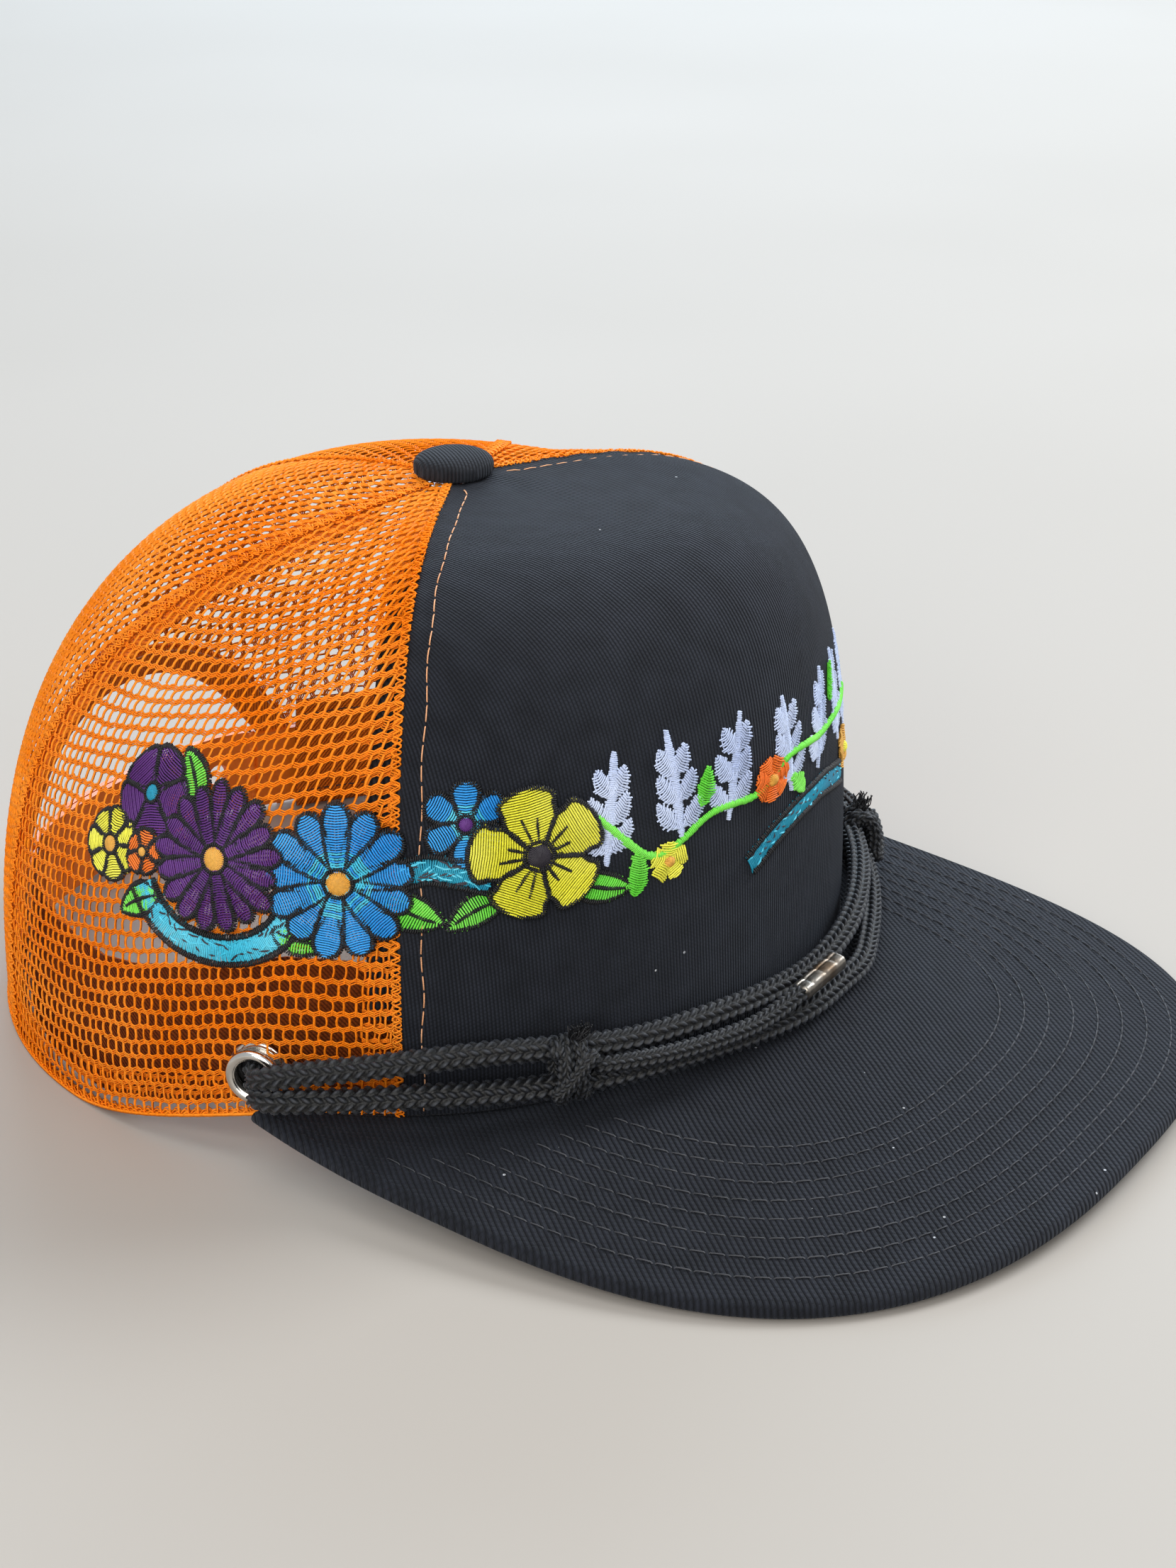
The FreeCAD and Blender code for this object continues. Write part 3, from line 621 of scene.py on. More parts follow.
def threadPiece(name, lines, radii, material, sides=5, thickness=1.0, **more):
    sizes = [len(line) for line in lines]
    points = np.concatenate(lines)
    starts = np.cumsum([0] + sizes[:-1])
    edges = np.concatenate([np.stack([np.arange(s, s + n - 1), np.arange(s + 1, s + n)], -1)
                            for s, n in zip(starts, sizes)])
    mesh = bpy.data.meshes.new(name)
    mesh.from_pydata((points * mm).tolist(), edges.tolist(), [])
    if np.ndim(radii) == 0:
        spread = np.full(len(points), float(radii))
    else:
        spread = np.repeat(np.asarray(radii, float), sizes)
    mesh.attributes.new("radius", "FLOAT", "POINT").data.foreach_set("value", spread)
    source = addObject(name + "Paths", mesh)
    maker = source.modifiers.new("threads", "NODES")
    maker.node_group = threadTree
    ids = {item.name: item.identifier for item in threadTree.interface.items_tree}
    maker[ids["Sides"]] = sides
    maker[ids["Thickness"]] = float(thickness)
    maker[ids["Finish"]] = finishes[material]
    source.update_tag()
    graph = bpy.context.evaluated_depsgraph_get()
    made = bpy.data.meshes.new_from_object(source.evaluated_get(graph), depsgraph=graph)
    bpy.data.objects.remove(source)
    made.name = name
    piece = addObject(name, made)
    made.calc_loop_triangles()
    tris = np.empty(len(made.loop_triangles) * 3, int)
    made.loop_triangles.foreach_get("vertices", tris)
    where = np.empty(len(made.vertices) * 3)
    made.vertices.foreach_get("co", where)
    a, b, c = where.reshape(-1, 3)[tris.reshape(-1, 3)].transpose(1, 0, 2)
    if np.sum(np.cross(a, b) * c) < 0:
        made.flip_normals()
    print(name, "triangles", len(made.loop_triangles))
    return settle(piece, material, **more)


addCamera()
addLights()
bpy.ops.mesh.primitive_plane_add(size=24)
floor = bpy.context.object
floor.name = "floor"
floorPaint, floorTree, floorShader = newMaterial("paleFloor", 0.75)
floorPlace = node(floorTree, "ShaderNodeTexCoord").outputs["Object"]
floorTone = blendColour(floorTree, noise(floorTree, floorPlace, 3.0), (0.35, 0.32, 0.285),
                        (0.40, 0.37, 0.335))
plug(floorTree, floorShader.inputs["Base Color"], floorTone)
floor.data.materials.append(floorPaint)

# Front panel: ribbed twill over a stiff backing

panelPlan = dict(columns=190, rows=150, thickness=0.9, backing=0.9, gap=0.12, pucker=0.16,
                 seamPull=0.22, sag=0.5, rimDent=0.25)


def makeFrontPanel():
    plan = panelPlan
    nu, nv = plan["columns"], plan["rows"]
    phi, rise = crownSheet(-cap["frontSeam"] + 0.1, cap["frontSeam"] - 0.1, 0.0, cap["top"], nu, nv)
    fromSeam = cap["frontSeam"] - np.abs(phi)
    pull = np.exp(-((fromSeam - 3.1) / 0.9) ** 2) * plan["seamPull"]
    pucker = plan["pucker"] * np.sin(rise * 118 + np.sign(phi)) * np.exp(-((fromSeam - 2.2) / 2.2) ** 2)
    sag = (plan["sag"] * np.sin(phi * 0.11 + 1.3) * np.sin(rise * 9.0 + phi * 0.045)
           * smooth((rise - 0.1) / 0.3))
    dent = plan["rimDent"] * np.exp(-((rise - 0.03) / 0.02) ** 2)
    inset = pull + pucker + sag * 0.45 + dent + borderFade(nu, nv, 2) ** 2 * 0.4
    outer = onCrown(phi, rise, inset)
    inner = onCrown(phi, rise, plan["thickness"] + np.minimum(sag * 0.2, 0))
    uv = sheetUv(outer)
    clothShell("front_panel_cloth", outer, inner, uv, "panel", stands=["front_panel"], slot="black_twill")
    phi, rise = crownSheet(-cap["frontSeam"] + 2, cap["frontSeam"] - 2, 0.01, cap["top"] - 0.05, 90, 70)
    first = plan["thickness"] + plan["gap"]
    outer, inner = onCrown(phi, rise, first + 0 * phi), onCrown(phi, rise, first + plan["backing"] + 0 * phi)
    clothShell("front_backing_cloth", outer, inner, sheetUv(outer), "buckram", stands=["front_backing"],
               slot="buckram")


makeFrontPanel()
print("front panel made")

# Open-knit side and rear panels

netPlan = dict(cellWidth=2.25, rowHeight=3.15, band=1.25, strut=0.29, thread=0.21, bow=0.20, unevenness=0.10,
               foldWidth=7.5, hemWidth=9.0, inset=0.45, foldInset=1.25, hemInset=1.5, seamThread=0.2,
               rimThread=0.42, rimWave=0.19, rimSpan=(56.3, 148))
eyeletPlan = dict(angle=74.0, z=18.5, hole=3.7, outer=5.6, clear=5.3)
archPlan = dict(halfWidth=43.0, height=46.0, footEase=0.9)


def panelChart(lowSeam, highSeam):
    rises = np.linspace(0, cap["top"], 97)
    low, high = lowSeam(rises), highSeam(rises)
    share = np.linspace(0, 1, 41)
    phis = low[:, None] + (high - low)[:, None] * share
    points = crownPoint(phis, rises[:, None])
    steps = np.linalg.norm(np.diff(points, axis=1), axis=-1)
    reach = np.concatenate([np.zeros((97, 1)), np.cumsum(steps, 1)], 1)
    reach = reach - reach[:, 20:21]
    climb = runLength(points[:, 20])
    grid = np.linspace(-80, 80, 321)
    table = np.stack([np.interp(grid, r, f) for r, f in zip(reach, phis)])
    return dict(climb=climb, rises=rises, table=table, low=reach[:, 0], high=reach[:, -1])


def chartPlace(chart, a, b, inset):
    rise = np.interp(b, chart["climb"], chart["rises"])
    phi = tableLook(chart["table"], rise / cap["top"] * 96, (a + 80) * 2)
    return onCrown(phi, rise, inset), phi, rise


def netLines(chart, turned, shift, seed, keep, inset, slope=0.0):
    plan = netPlan
    rng = np.random.RandomState(seed)
    w, h, band = plan["cellWidth"], plan["rowHeight"], plan["band"]
    span, tall = 62.0, chart["climb"][-1]
    rows = np.arange(int((2 * span if turned else tall) / h) + 3)
    cols = np.arange(int((tall if turned else 2 * span) / w) + 3)
    k, j = [g.ravel() for g in np.meshgrid(rows, cols, indexing="ij")]
    halfStep = np.where(k % 2 == 0, 0.0, w / 2)
    x0 = j * w + halfStep + shift[0] + rng.normal(0, plan["unevenness"], len(k))
    y0 = k * h + shift[1] + rng.normal(0, plan["unevenness"], len(k))
    y0 = y0 + 0.25 * np.sin(x0 * 0.21 + k)
    lines, radii = [], []

    def add(xs, ys, lifts, radius):
        x, y = np.stack(xs, -1), np.stack(ys, -1)
        a, b = (y - span, x) if turned else (x - span, y)
        b = b + slope * a * smooth(b / 70)
        at, phi, rise = chartPlace(chart, a, np.clip(b, 0.2, tall), inset - np.stack(lifts, -1))
        low = np.interp(b, chart["climb"], chart["low"])
        high = np.interp(b, chart["climb"], chart["high"])
        ok = ((a > low) & (a < high) & (b > -0.2) & (b < tall)).sum(1) >= 2
        ok &= keep(at, a - low, high - a, b).all(1)
        for line in at[ok]:
            lines.append(line)
            radii.append(radius)

    zero = np.zeros(len(k))
    bow = plan["bow"] * rng.uniform(-1, 1, len(k))
    body = h - band
    add([x0, x0 + bow, x0 + bow, x0],
        [y0 + band * 0.42, y0 + band / 2 + body * 0.33, y0 + band / 2 + body * 0.67, y0 + h - band * 0.42],
        [zero, zero + 0.10, zero + 0.10, zero], plan["strut"])
    for side in (-1, 1):
        for n in (-1, 0, 1):
            push = n * 0.40
            wig = rng.uniform(-0.08, 0.08, len(k))
            x1 = x0 + side * w / 2
            add([x0 - side * 0.12, (x0 + x1) / 2 + wig, x1 + side * 0.12],
                [y0 + h - band * 0.22 + push, y0 + h + push + wig, y0 + h + band * 0.22 + push],
                [zero + 0.05 * side, zero + 0.12 * n, zero - 0.05 * side], plan["thread"])
    return lines, radii


def clearOf(part):
    eye = crownPoint(eyeletPlan["angle"], riseAt(eyeletPlan["angle"], eyeletPlan["z"]))
    if part == "side":
        return lambda at, fromLow, toHigh, b: np.linalg.norm(at - eye, axis=-1) > eyeletPlan["clear"]
    return lambda at, fromLow, toHigh, b: ((at[..., 0] / archPlan["halfWidth"]) ** 2
                                           + (at[..., 2] / archPlan["height"]) ** 2) > 1.0


frontSeamRule = lambda rise: cap["frontSeam"] + 0 * rise
backSeamRule = lambda rise: 180.0 + 0 * rise
centreWaveRule = lambda rise: 179.8 + 0 * rise
charts = dict(side=panelChart(frontSeamRule, rearSeam), rear=panelChart(rearSeam, backSeamRule))


def seamWave(rule, riseLow, riseHigh, pitch, reach, lift, phase, offset=0.0):
    rises = np.linspace(riseLow, riseHigh, 900)
    base = crownPoint(rule(rises), rises)
    along = runLength(base)
    steps = np.arange(0, along[-1], pitch / 8)
    rise = np.interp(steps, along, rises)
    phi = rule(rise)
    perDegree = np.linalg.norm(crownPoint(phi + 0.5, rise) - crownPoint(phi - 0.5, rise), axis=-1)
    swing = offset + reach * np.sin(2 * np.pi * steps / pitch + phase)
    height = lift + 0.22 * np.cos(4 * np.pi * steps / pitch + phase)
    return onCrown(phi + swing / perDegree, rise, -height)


def rimLine(phiLow, phiHigh, up, inset, wave=0.0, pitch=2.2, count=900):
    phi = np.linspace(phiLow, phiHigh, count)
    z = rimPoint(phi)[..., 2] + up
    s = np.radians(phi) * 89
    turn = 2 * np.pi * s / pitch
    return wallPoint(phi, z + wave * np.sin(turn), inset + 0.3 * wave * np.cos(turn))


def makeNets():
    plan = netPlan
    width, hem = plan["foldWidth"], plan["hemWidth"]
    keep, keepRear = clearOf("side"), clearOf("rear")
    nearFront = lambda at, low, high, b: (low < width) & (low > -0.3) & keep(at, low, high, b)
    nearBack = lambda at, low, high, b: (high < width * 0.62) & keep(at, low, high, b)
    nearHem = lambda at, low, high, b: (b < hem) & keep(at, low, high, b)
    nearSeam = lambda at, low, high, b: (low < width * 0.62) & keepRear(at, low, high, b)
    rearHem = lambda at, low, high, b: (b < hem) & keepRear(at, low, high, b)
    sheets = (("side", False, (0.3, 0.4), 0, keep, -0.14), ("rear", True, (0.8, 0.2), 1, keepRear, 0.0))
    doubled = (("side", False, (1.37, 1.9), 3, nearFront, plan["foldInset"]),
               ("side", False, (1.37, 1.9), 4, nearBack, plan["foldInset"]),
               ("side", False, (1.37, 1.9), 5, nearHem, plan["hemInset"]),
               ("rear", True, (1.9, 1.4), 7, nearSeam, plan["foldInset"]),
               ("rear", True, (1.9, 1.4), 8, rearHem, plan["foldInset"]))
    waves = [(frontSeamRule, 0.01, 0.95, 2.1 + phase * 0.09, 0.85, 0.25, phase, 0.15)
             for phase in (0.0, 2.1, 4.2)]
    waves += [(rearSeam, 0.01, 0.95, 2.3, reach, 0.05, phase)
              for phase, reach in ((0.0, 0.8), (3.1, 0.8), (1.2, 1.6), (4.4, 1.6))]
    waves += [(centreWaveRule, 0.36, 0.95, 2.3, 0.7, 0.0, phase) for phase in (0.0, 3.1)]
    for side, sign, seed in (("right", 1, 5), ("left", -1, 11)):
        mirror = np.array([sign, 1.0, 1.0])
        for part, turned, shift, step, rule, slope in sheets:
            lines, radii = netLines(charts[part], turned, shift, seed + step, rule, plan["inset"], slope)
            threadPiece(f"{part}_net_{side}", [line * mirror for line in lines], radii, "net",
                        stands=[f"{part}_mesh_{side}"], slot="orange_mesh", sides=3)
        folds, thick = [], []
        for part, turned, shift, step, rule, inset in doubled:
            some, size = netLines(charts[part], turned, shift, seed + step, rule, inset)
            folds += some
            thick += size
        folds += [seamWave(*wave) for wave in waves]
        folds += [rimLine(*plan["rimSpan"], up, inset)
                  for up, inset in ((0.55, 0.1), (0.48, 0.8), (0.7, 1.5))]
        folds += [rimLine(*plan["rimSpan"], 0.75 + 0.2 * phase, inset, 0.45, 2.2 + 0.13 * phase, 1100)
                  for phase, inset in ((0, 0.1), (1, 0.6), (2, 1.2))]
        thick += [plan["seamThread"]] * len(waves) + [plan["rimThread"]] * 3 + [plan["rimWave"]] * 3
        threadPiece(f"net_folds_{side}", [line * mirror for line in folds], thick, "net",
                    stands=[f"hem_{side}"], slot="orange_fabric", sides=3)


makeNets()
print("nets made")

# Tapes, binding and sweatband inside

innerPlan = dict(tapeHalf=5.5, tape=0.6, tapeInset=1.12, frontTapeInset=2.16, bandLow=1.0, bandHigh=30.0,
                 bandEnd=149.0, bandInsetLow=4.9, bandInsetHigh=6.6, band=0.8, stitch=(2.4, 0.7),
                 bindingStitch=(2.5, 0.6))


def makeTape(name, rule, inset, sign, material, stands, slot):
    rises = np.linspace(0.13, 0.84, 120)
    phi = rule(rises)
    at = crownPoint(phi, rises)
    spread = np.degrees(innerPlan["tapeHalf"] / np.hypot(at[:, 0], at[:, 1] - cap["buttonY"]))
    u = np.linspace(-1, 1, 15)
    wide = phi[None, :] + spread[None, :] * u[:, None]
    rise = np.broadcast_to(rises[None, :], wide.shape)
    ripple = 0.12 * np.sin(rises * 90)[None, :] * np.abs(u)[:, None] - 0.105 * (1 - u[:, None] ** 2)
    outer = onCrown(wide, rise, inset + 0.05 + np.abs(ripple) * 0.3)
    inner = onCrown(wide, rise, inset + innerPlan["tape"] + ripple)
    mirror = np.array([sign, 1.0, 1.0])
    clothShell(name, outer * mirror, inner * mirror, sheetUv(outer), material, stands=[stands], slot=slot)
    return [onCrown(wide[k], rises, inset + innerPlan["tape"] + 0.15) * mirror for k in (2, 12)]


def dashes(line, stitch, space):
    along = runLength(line)
    starts = np.arange(0.4, along[-1] - stitch, stitch + space)
    made = []
    for s in starts:
        t = s + stitch * np.array([0.0, 0.12, 0.5, 0.88, 1.0])
        made.append(pointsAt(t, along, line))
    return made


def makeInside():
    rows = []
    for sign, side in ((1, "right"), (-1, "left")):
        rows += makeTape(f"front_tape_{side}", frontSeamRule, innerPlan["frontTapeInset"], sign, "tape",
                         f"front_seam_tape_{side}", "black_tape")
        rows += makeTape(f"rear_tape_{side}", rearSeam, innerPlan["tapeInset"], sign, "netTape",
                         f"rear_seam_tape_{side}", "orange_fabric")
    phi, v = np.meshgrid(np.linspace(-innerPlan["bandEnd"], innerPlan["bandEnd"], 400), np.linspace(0, 1, 16),
                         indexing="ij")
    z = rimPoint(phi)[..., 2] + innerPlan["bandLow"] + (innerPlan["bandHigh"] - innerPlan["bandLow"]) * v
    lean = innerPlan["bandInsetLow"] + (innerPlan["bandInsetHigh"] - innerPlan["bandInsetLow"]) * v
    ripple = 0.28 * np.sin(phi * 0.9) * v ** 2 + 0.12 * np.sin(phi * 2.3 + 1) * v
    crown = 0.35 * (1 - (2 * v - 1) ** 2)
    half = innerPlan["band"] / 2
    outer, inner = wallPoint(phi, z, lean + ripple), wallPoint(phi, z, lean + ripple + 2 * half + crown)
    middle = [wallPoint(phi, z, lean + ripple + half + gap) for gap in (0.0, 0.03)]
    # the outer face takes the darker painted-shade finish, the inner face the lining's own burnt orange
    clothShell("sweatband_cloth", outer, middle[0], sheetUv(outer), "sweatband", stands=["sweatband"],
               slot="sweatband_cloth")
    clothShell("sweatband_lining", middle[1], inner, sheetUv(outer), "lining", slot="sweatband_cloth")
    stitchRow = []
    for line in [inner[:, 2], inner[:, 13]] + rows:
        stitchRow += dashes(line, *innerPlan["stitch"])
    threadPiece("inside_stitches", stitchRow, 0.16, "toneThread", sides=4, slot="black_tape")


makeInside()


def makeArchBinding():
    turn = np.linspace(0.06, 0.94, 150) * np.pi
    ease = archPlan["footEase"] * smooth((0.56 - np.sin(turn)) / 0.12)
    profile = [(6.4, -0.30), (5.2, -0.42), (3.0, -0.42), (1.0, -0.45), (-0.35, -0.30), (-0.75, 0.5),
               (-0.3, 1.3), (1.0, 1.6), (3.0, 1.75), (5.6, 1.72), (6.2, 1.5), (5.8, 1.16), (3.0, 1.10),
               (0.4, 1.06), (0.15, 0.5), (0.4, 0.0), (3.0, -0.02), (5.8, -0.04)]
    rings = []
    for grow, inset in profile:
        x = (archPlan["halfWidth"] + grow + ease) * np.cos(turn)
        z = np.maximum((archPlan["height"] + grow) * np.sin(turn), 0.4)
        low = bisect(np.full_like(x, 120.0), np.full_like(x, 180.0), 16,
                     lambda mid: np.abs(wallPoint(mid, z, 0.5)[..., 0]) > np.abs(x))
        rings.append(wallPoint(low, z, inset) * np.stack([-np.sign(x), x * 0 + 1, x * 0 + 1], -1))
    points = np.stack(rings, 1)
    nu, nv = points.shape[:2]
    faces = ringFaces(nu, nv)
    faces += [tuple(range(nv)), tuple(range((nu - 1) * nv, nu * nv))[::-1]]
    settle(linkMesh("arch_binding_tape", points.reshape(-1, 3), faces), "netTape",
           stands=["rear_arch_binding"], slot="orange_fabric")
    outside, inside = points[:, 1].copy(), points[:, 9].copy()
    out = outside - np.array([0, 0, 20.0])
    out[:, 2] = 0
    out = unit(out)
    rows = [line for path in (outside + out * 0.12, inside - out * 0.1)
            for line in dashes(path, *innerPlan["bindingStitch"])]
    threadPiece("binding_stitches", rows, 0.17, "peach", sides=4, slot="orange_fabric")


makeArchBinding()


foldPlan = dict(radius=1.0, groove=0.8, edge=0.7, height=19.0, pitch=1.7,
                places=dict(left=(37.8, 78.92, 1.5), right=(-36.6, 77.58, 1.5)))


def makeHinges():
    full, edge, height = foldPlan["radius"], foldPlan["edge"], foldPlan["height"]
    grooves = [(r, h + d) for h in np.arange(1.4, 17.2, foldPlan["pitch"])
               for r, d in ((full, 0.0), (foldPlan["groove"], 0.3), (full, 0.6))]
    profile = [(0.0, 0.0), (edge, 0.0), (full, 0.35)] + grooves
    profile += [(full, height - 0.4), (edge, height), (0.0, height)]
    for side, place in foldPlan["places"].items():
        lathe(f"strap_fold_{side}", place, (0, 0, 1), profile, "strap", sides=20, slot="strap_plastic")


makeHinges()
print("inside made")

# Visor: twill covers over the plastic board

visorPlan = dict(halfWidth=92.0, widestY=-61.0, reach=104.5, sidePower=2.5, frontPower=3.05, corner=73.5,
                 cover=0.7, depth=3.2, columns=260, rows=56, ripple=0.10, underInset=3.05, stitchRows=8,
                 firstRow=6.5, rowGap=4.6, stitch=(3.0, 0.5), widestRow=0.86, rowStep=0.035)


def visorEdge(u, inset):
    plan = visorPlan
    t = np.abs(u)
    side = np.sign(u)
    reach, half = plan["reach"] - inset, plan["halfWidth"] - inset
    corner = rimPoint(np.array(plan["corner"]))
    cornerX, cornerY = -corner[0] + 2.6 - inset, corner[1] - inset
    angle = np.clip(t / 0.8, 0, 1) * np.pi / 2
    c, s = np.cos(angle), np.sin(angle)
    low = bisect(np.zeros_like(c), np.full_like(c, 220.0), 30, lambda mid: (
        (mid * s / half) ** plan["sidePower"] + (mid * c / reach) ** plan["frontPower"] < 1))
    k = np.clip((t - 0.8) / 0.2, 0, 1)
    x = np.where(t <= 0.8, -side * low * s, -side * (half - (half - cornerX) * k * k))
    y = np.where(t <= 0.8, plan["widestY"] - low * c, plan["widestY"] + (cornerY - plan["widestY"]) * k)
    return x, y


def visorPoint(u, v, edgeInset, drop, out=0.15):
    rim = rimPoint(u * (visorPlan["corner"] - 0.2))
    away = np.stack([rim[..., 0] / cap["halfWidth"] ** 2, rim[..., 1] / cap["halfLength"] ** 2,
                     0 * rim[..., 0]], -1)
    rim = rim + unit(away) * out
    ex, ey = visorEdge(u, edgeInset)
    x, y = rim[..., 0] + (ex - rim[..., 0]) * v, rim[..., 1] + (ey - rim[..., 1]) * v
    return np.stack([x, y, visorZ(x, y) - drop], -1)


def makeVisor():
    plan = visorPlan
    half = plan["depth"] / 2
    u = np.linspace(-1, 1, plan["columns"])
    v = np.linspace(0, 1, plan["rows"]) ** 0.9
    uu, vv = np.meshgrid(u, v, indexing="ij")
    bulge = -plan["ripple"] * np.sin(vv * 21 + 2 * np.cos(uu * 5)) * smooth((vv - 0.1) / 0.3)
    skins = []
    for shrink in (0.0, plan["cover"] - 0.05):
        radius = half - shrink
        top = visorPoint(uu, vv, half, shrink + bulge * (shrink == 0))
        turn = np.linspace(0, np.pi, 13)[1:-1]
        roll = [visorPoint(u, np.ones_like(u), half - radius * math.sin(a), half - radius * math.cos(a))
                for a in turn]
        back = [visorPoint(u, np.ones_like(u), half + g, plan["depth"] - shrink) for g in (0.0, 1.5, 3.0)]
        skins.append(np.concatenate([top, np.stack(roll + back, 1)], 1))
    outer, inner = skins
    clothShell("visor_top_cloth", outer, inner, outer[..., :2].copy(), "visor", stands=["visor_top_cover"],
               slot="visor_twill")
    uu, vv = np.meshgrid(u, np.linspace(0, 1, 30), indexing="ij")
    edge = borderFade(len(u), 30, 2)
    outer = visorPoint(uu, vv, half + plan["underInset"], plan["depth"] - 0.75)
    inner = visorPoint(uu, vv, half + plan["underInset"], plan["depth"] - 0.03 * edge)
    clothShell("visor_under_cloth", outer, inner, outer[..., :2].copy(), "visor",
               stands=["visor_under_cover"], slot="visor_twill")
    stitches = []
    for n in range(plan["stitchRows"]):
        inset = plan["firstRow"] + n * plan["rowGap"]
        reachU = plan["widestRow"] - plan["rowStep"] * n
        steps = np.linspace(-reachU, reachU, 500)
        for s in dashes(visorPoint(steps, np.ones(500), inset, -0.12), *plan["stitch"]):
            stitches.append(s + np.array([0, 0, 1.0]) * np.array([-0.3, 0.02, 0.06, 0.02, -0.3])[:, None])
        stitches += dashes(visorPoint(steps, np.ones(500), inset, plan["depth"] + 0.02), *plan["stitch"])
    threadPiece("visor_stitches", stitches, 0.17, "toneThread", sides=4, slot="visor_twill")
    u = np.linspace(-0.985, 0.985, 300)
    root = visorPoint(u, 0 * u, 0, half + 0.06 * np.sin(u * 170), -0.35)
    threadPiece("visor_root_piping", [root], half - 0.05, "tape", sides=14, slot="black_tape")


makeVisor()
print("visor made")

# Button and eyelets

buttonPlan = dict(base=110.35, radius=8.0, height=4.6, cloth=0.7)


def makeButton():
    plan = buttonPlan
    r, h, t = plan["radius"], plan["height"], plan["cloth"]
    turn = np.linspace(0, 2 * np.pi, 96, endpoint=False)
    ball = np.linspace(0, 1, 26)[1:]
    out = [(r * math.sin(s * math.pi / 2) ** 0.82, h * (0.34 + 0.66 * math.cos(s * math.pi / 2) ** 0.75))
           for s in ball]
    out += [(r, h * 0.25), (r - 0.12, h * 0.12), (r - 0.5, 0.05), (r - 1.2, 0.0), (r - 1.6, 0.12)]
    back = [(r - 1.6, t - 0.1), (r - 1.0, t), (r - t - 0.2, h * 0.25)]
    back += [((r - t - 0.1) * math.sin(s * math.pi / 2) ** 0.82,
              h * (0.34 + 0.66 * math.cos(s * math.pi / 2) ** 0.75) - t) for s in ball[::-4]]
    profile = np.array(out + back)
    creases = 0.10 * np.sin(turn * 13 + 0.7) + 0.08 * np.sin(turn * 22)
    rings = []
    for k, (radius, z) in enumerate(profile):
        edge = math.exp(-((z - 0.9) / 0.9) ** 2) if k < len(out) else 0.0
        some = radius + creases * edge
        rings.append(np.stack([some * np.cos(turn), some * np.sin(turn) + cap["buttonY"],
                               plan["base"] + z + 0 * turn], -1))
    points = np.stack(rings, 1)
    sides, nr = points.shape[:2]
    flat = np.concatenate([points.reshape(-1, 3), [[0, cap["buttonY"], plan["base"] + h]],
                           [[0, cap["buttonY"], plan["base"] + h - t]]])
    faces = gridFaces(sides, nr, closeU=True) + poleFaces(sides, nr)
    settle(linkMesh("button_cloth", flat, faces), "button", stands=["button_cover"], slot="button_cloth")


def makeEyelets():
    plan = eyeletPlan
    rise = riseAt(plan["angle"], plan["z"])
    centre = crownPoint(plan["angle"], rise)
    axis = crownNormal(np.array(plan["angle"]), np.array(rise))
    axis[2] = 0
    axis = unit(axis)
    hole, rim = plan["hole"], plan["outer"]
    ring = [(hole, -2.9), (hole + 0.04, 0.75)]
    mid, half = (hole + rim) / 2, (rim - hole) / 2
    for a in np.linspace(2.7, -0.25, 12):
        ring.append((mid + half * math.cos(a), 0.25 + 1.0 * math.sin(max(a, 0)) ** 0.8 if a > 0 else 0.16))
    ring += [(hole + 0.5, 0.12), (hole + 0.45, -2.6), (hole + 1.15, -2.72), (hole + 1.25, -2.95),
             (hole + 0.8, -3.22), (hole + 0.2, -3.2)]
    washer = [(hole + 0.56, -2.15), (hole + 0.56, -2.6), (rim + 0.3, -2.66), (rim + 0.5, -2.4),
              (rim + 0.3, -2.12)]
    anchor = [(0.0, -3.42), (1.6, -3.40), (3.0, -3.46), (3.5, -3.62), (3.9, -3.48), (4.45, -3.56),
              (4.72, -3.86), (4.72, -4.24), (4.45, -4.54), (3.9, -4.64), (3.5, -4.48), (3.0, -4.70),
              (1.9, -4.80), (1.5, -4.62), (1.1, -4.84), (0.0, -4.90)]
    spokes = np.linspace(0, 2 * np.pi, 26, endpoint=False)
    across = np.cross(axis, [0, 0, 1.0])
    turned = [np.cos(a) * across + np.sin(a) * np.array([0, 0, 1.0]) for a in spokes]
    tacks = [np.stack([centre - axis * deep + out * far for far, deep in
                       ((2.5, 4.55), (2.62, 4.86), (3.35, 4.84), (3.5, 4.45))]) for out in turned]
    for sign, side in ((1, "right"), (-1, "left")):
        flip = np.array([sign, 1.0, 1.0])
        lathe(f"anchor_disc_{side}", centre * flip, axis * flip, anchor, "tape",
              stands=[f"lace_anchor_{side}"], slot="black_tape")
        threadPiece(f"anchor_stitches_{side}", [t * flip for t in tacks], 0.15, "toneThread", sides=5,
                    slot="black_tape")
        lathe(f"eyelet_ring_{side}", centre * flip, axis * flip, ring, "nickel", stands=[f"eyelet_{side}"],
              slot="nickel")
        lathe(f"eyelet_back_{side}", centre * flip, axis * flip, washer, "nickel",
              stands=[f"eyelet_washer_{side}"], slot="nickel")
    return centre, axis


makeButton()
eyeletCentre, eyeletAxis = makeEyelets()
print("button and eyelets made")

# Lace: two braided strands, two sliding knots, two tails with crimped ends

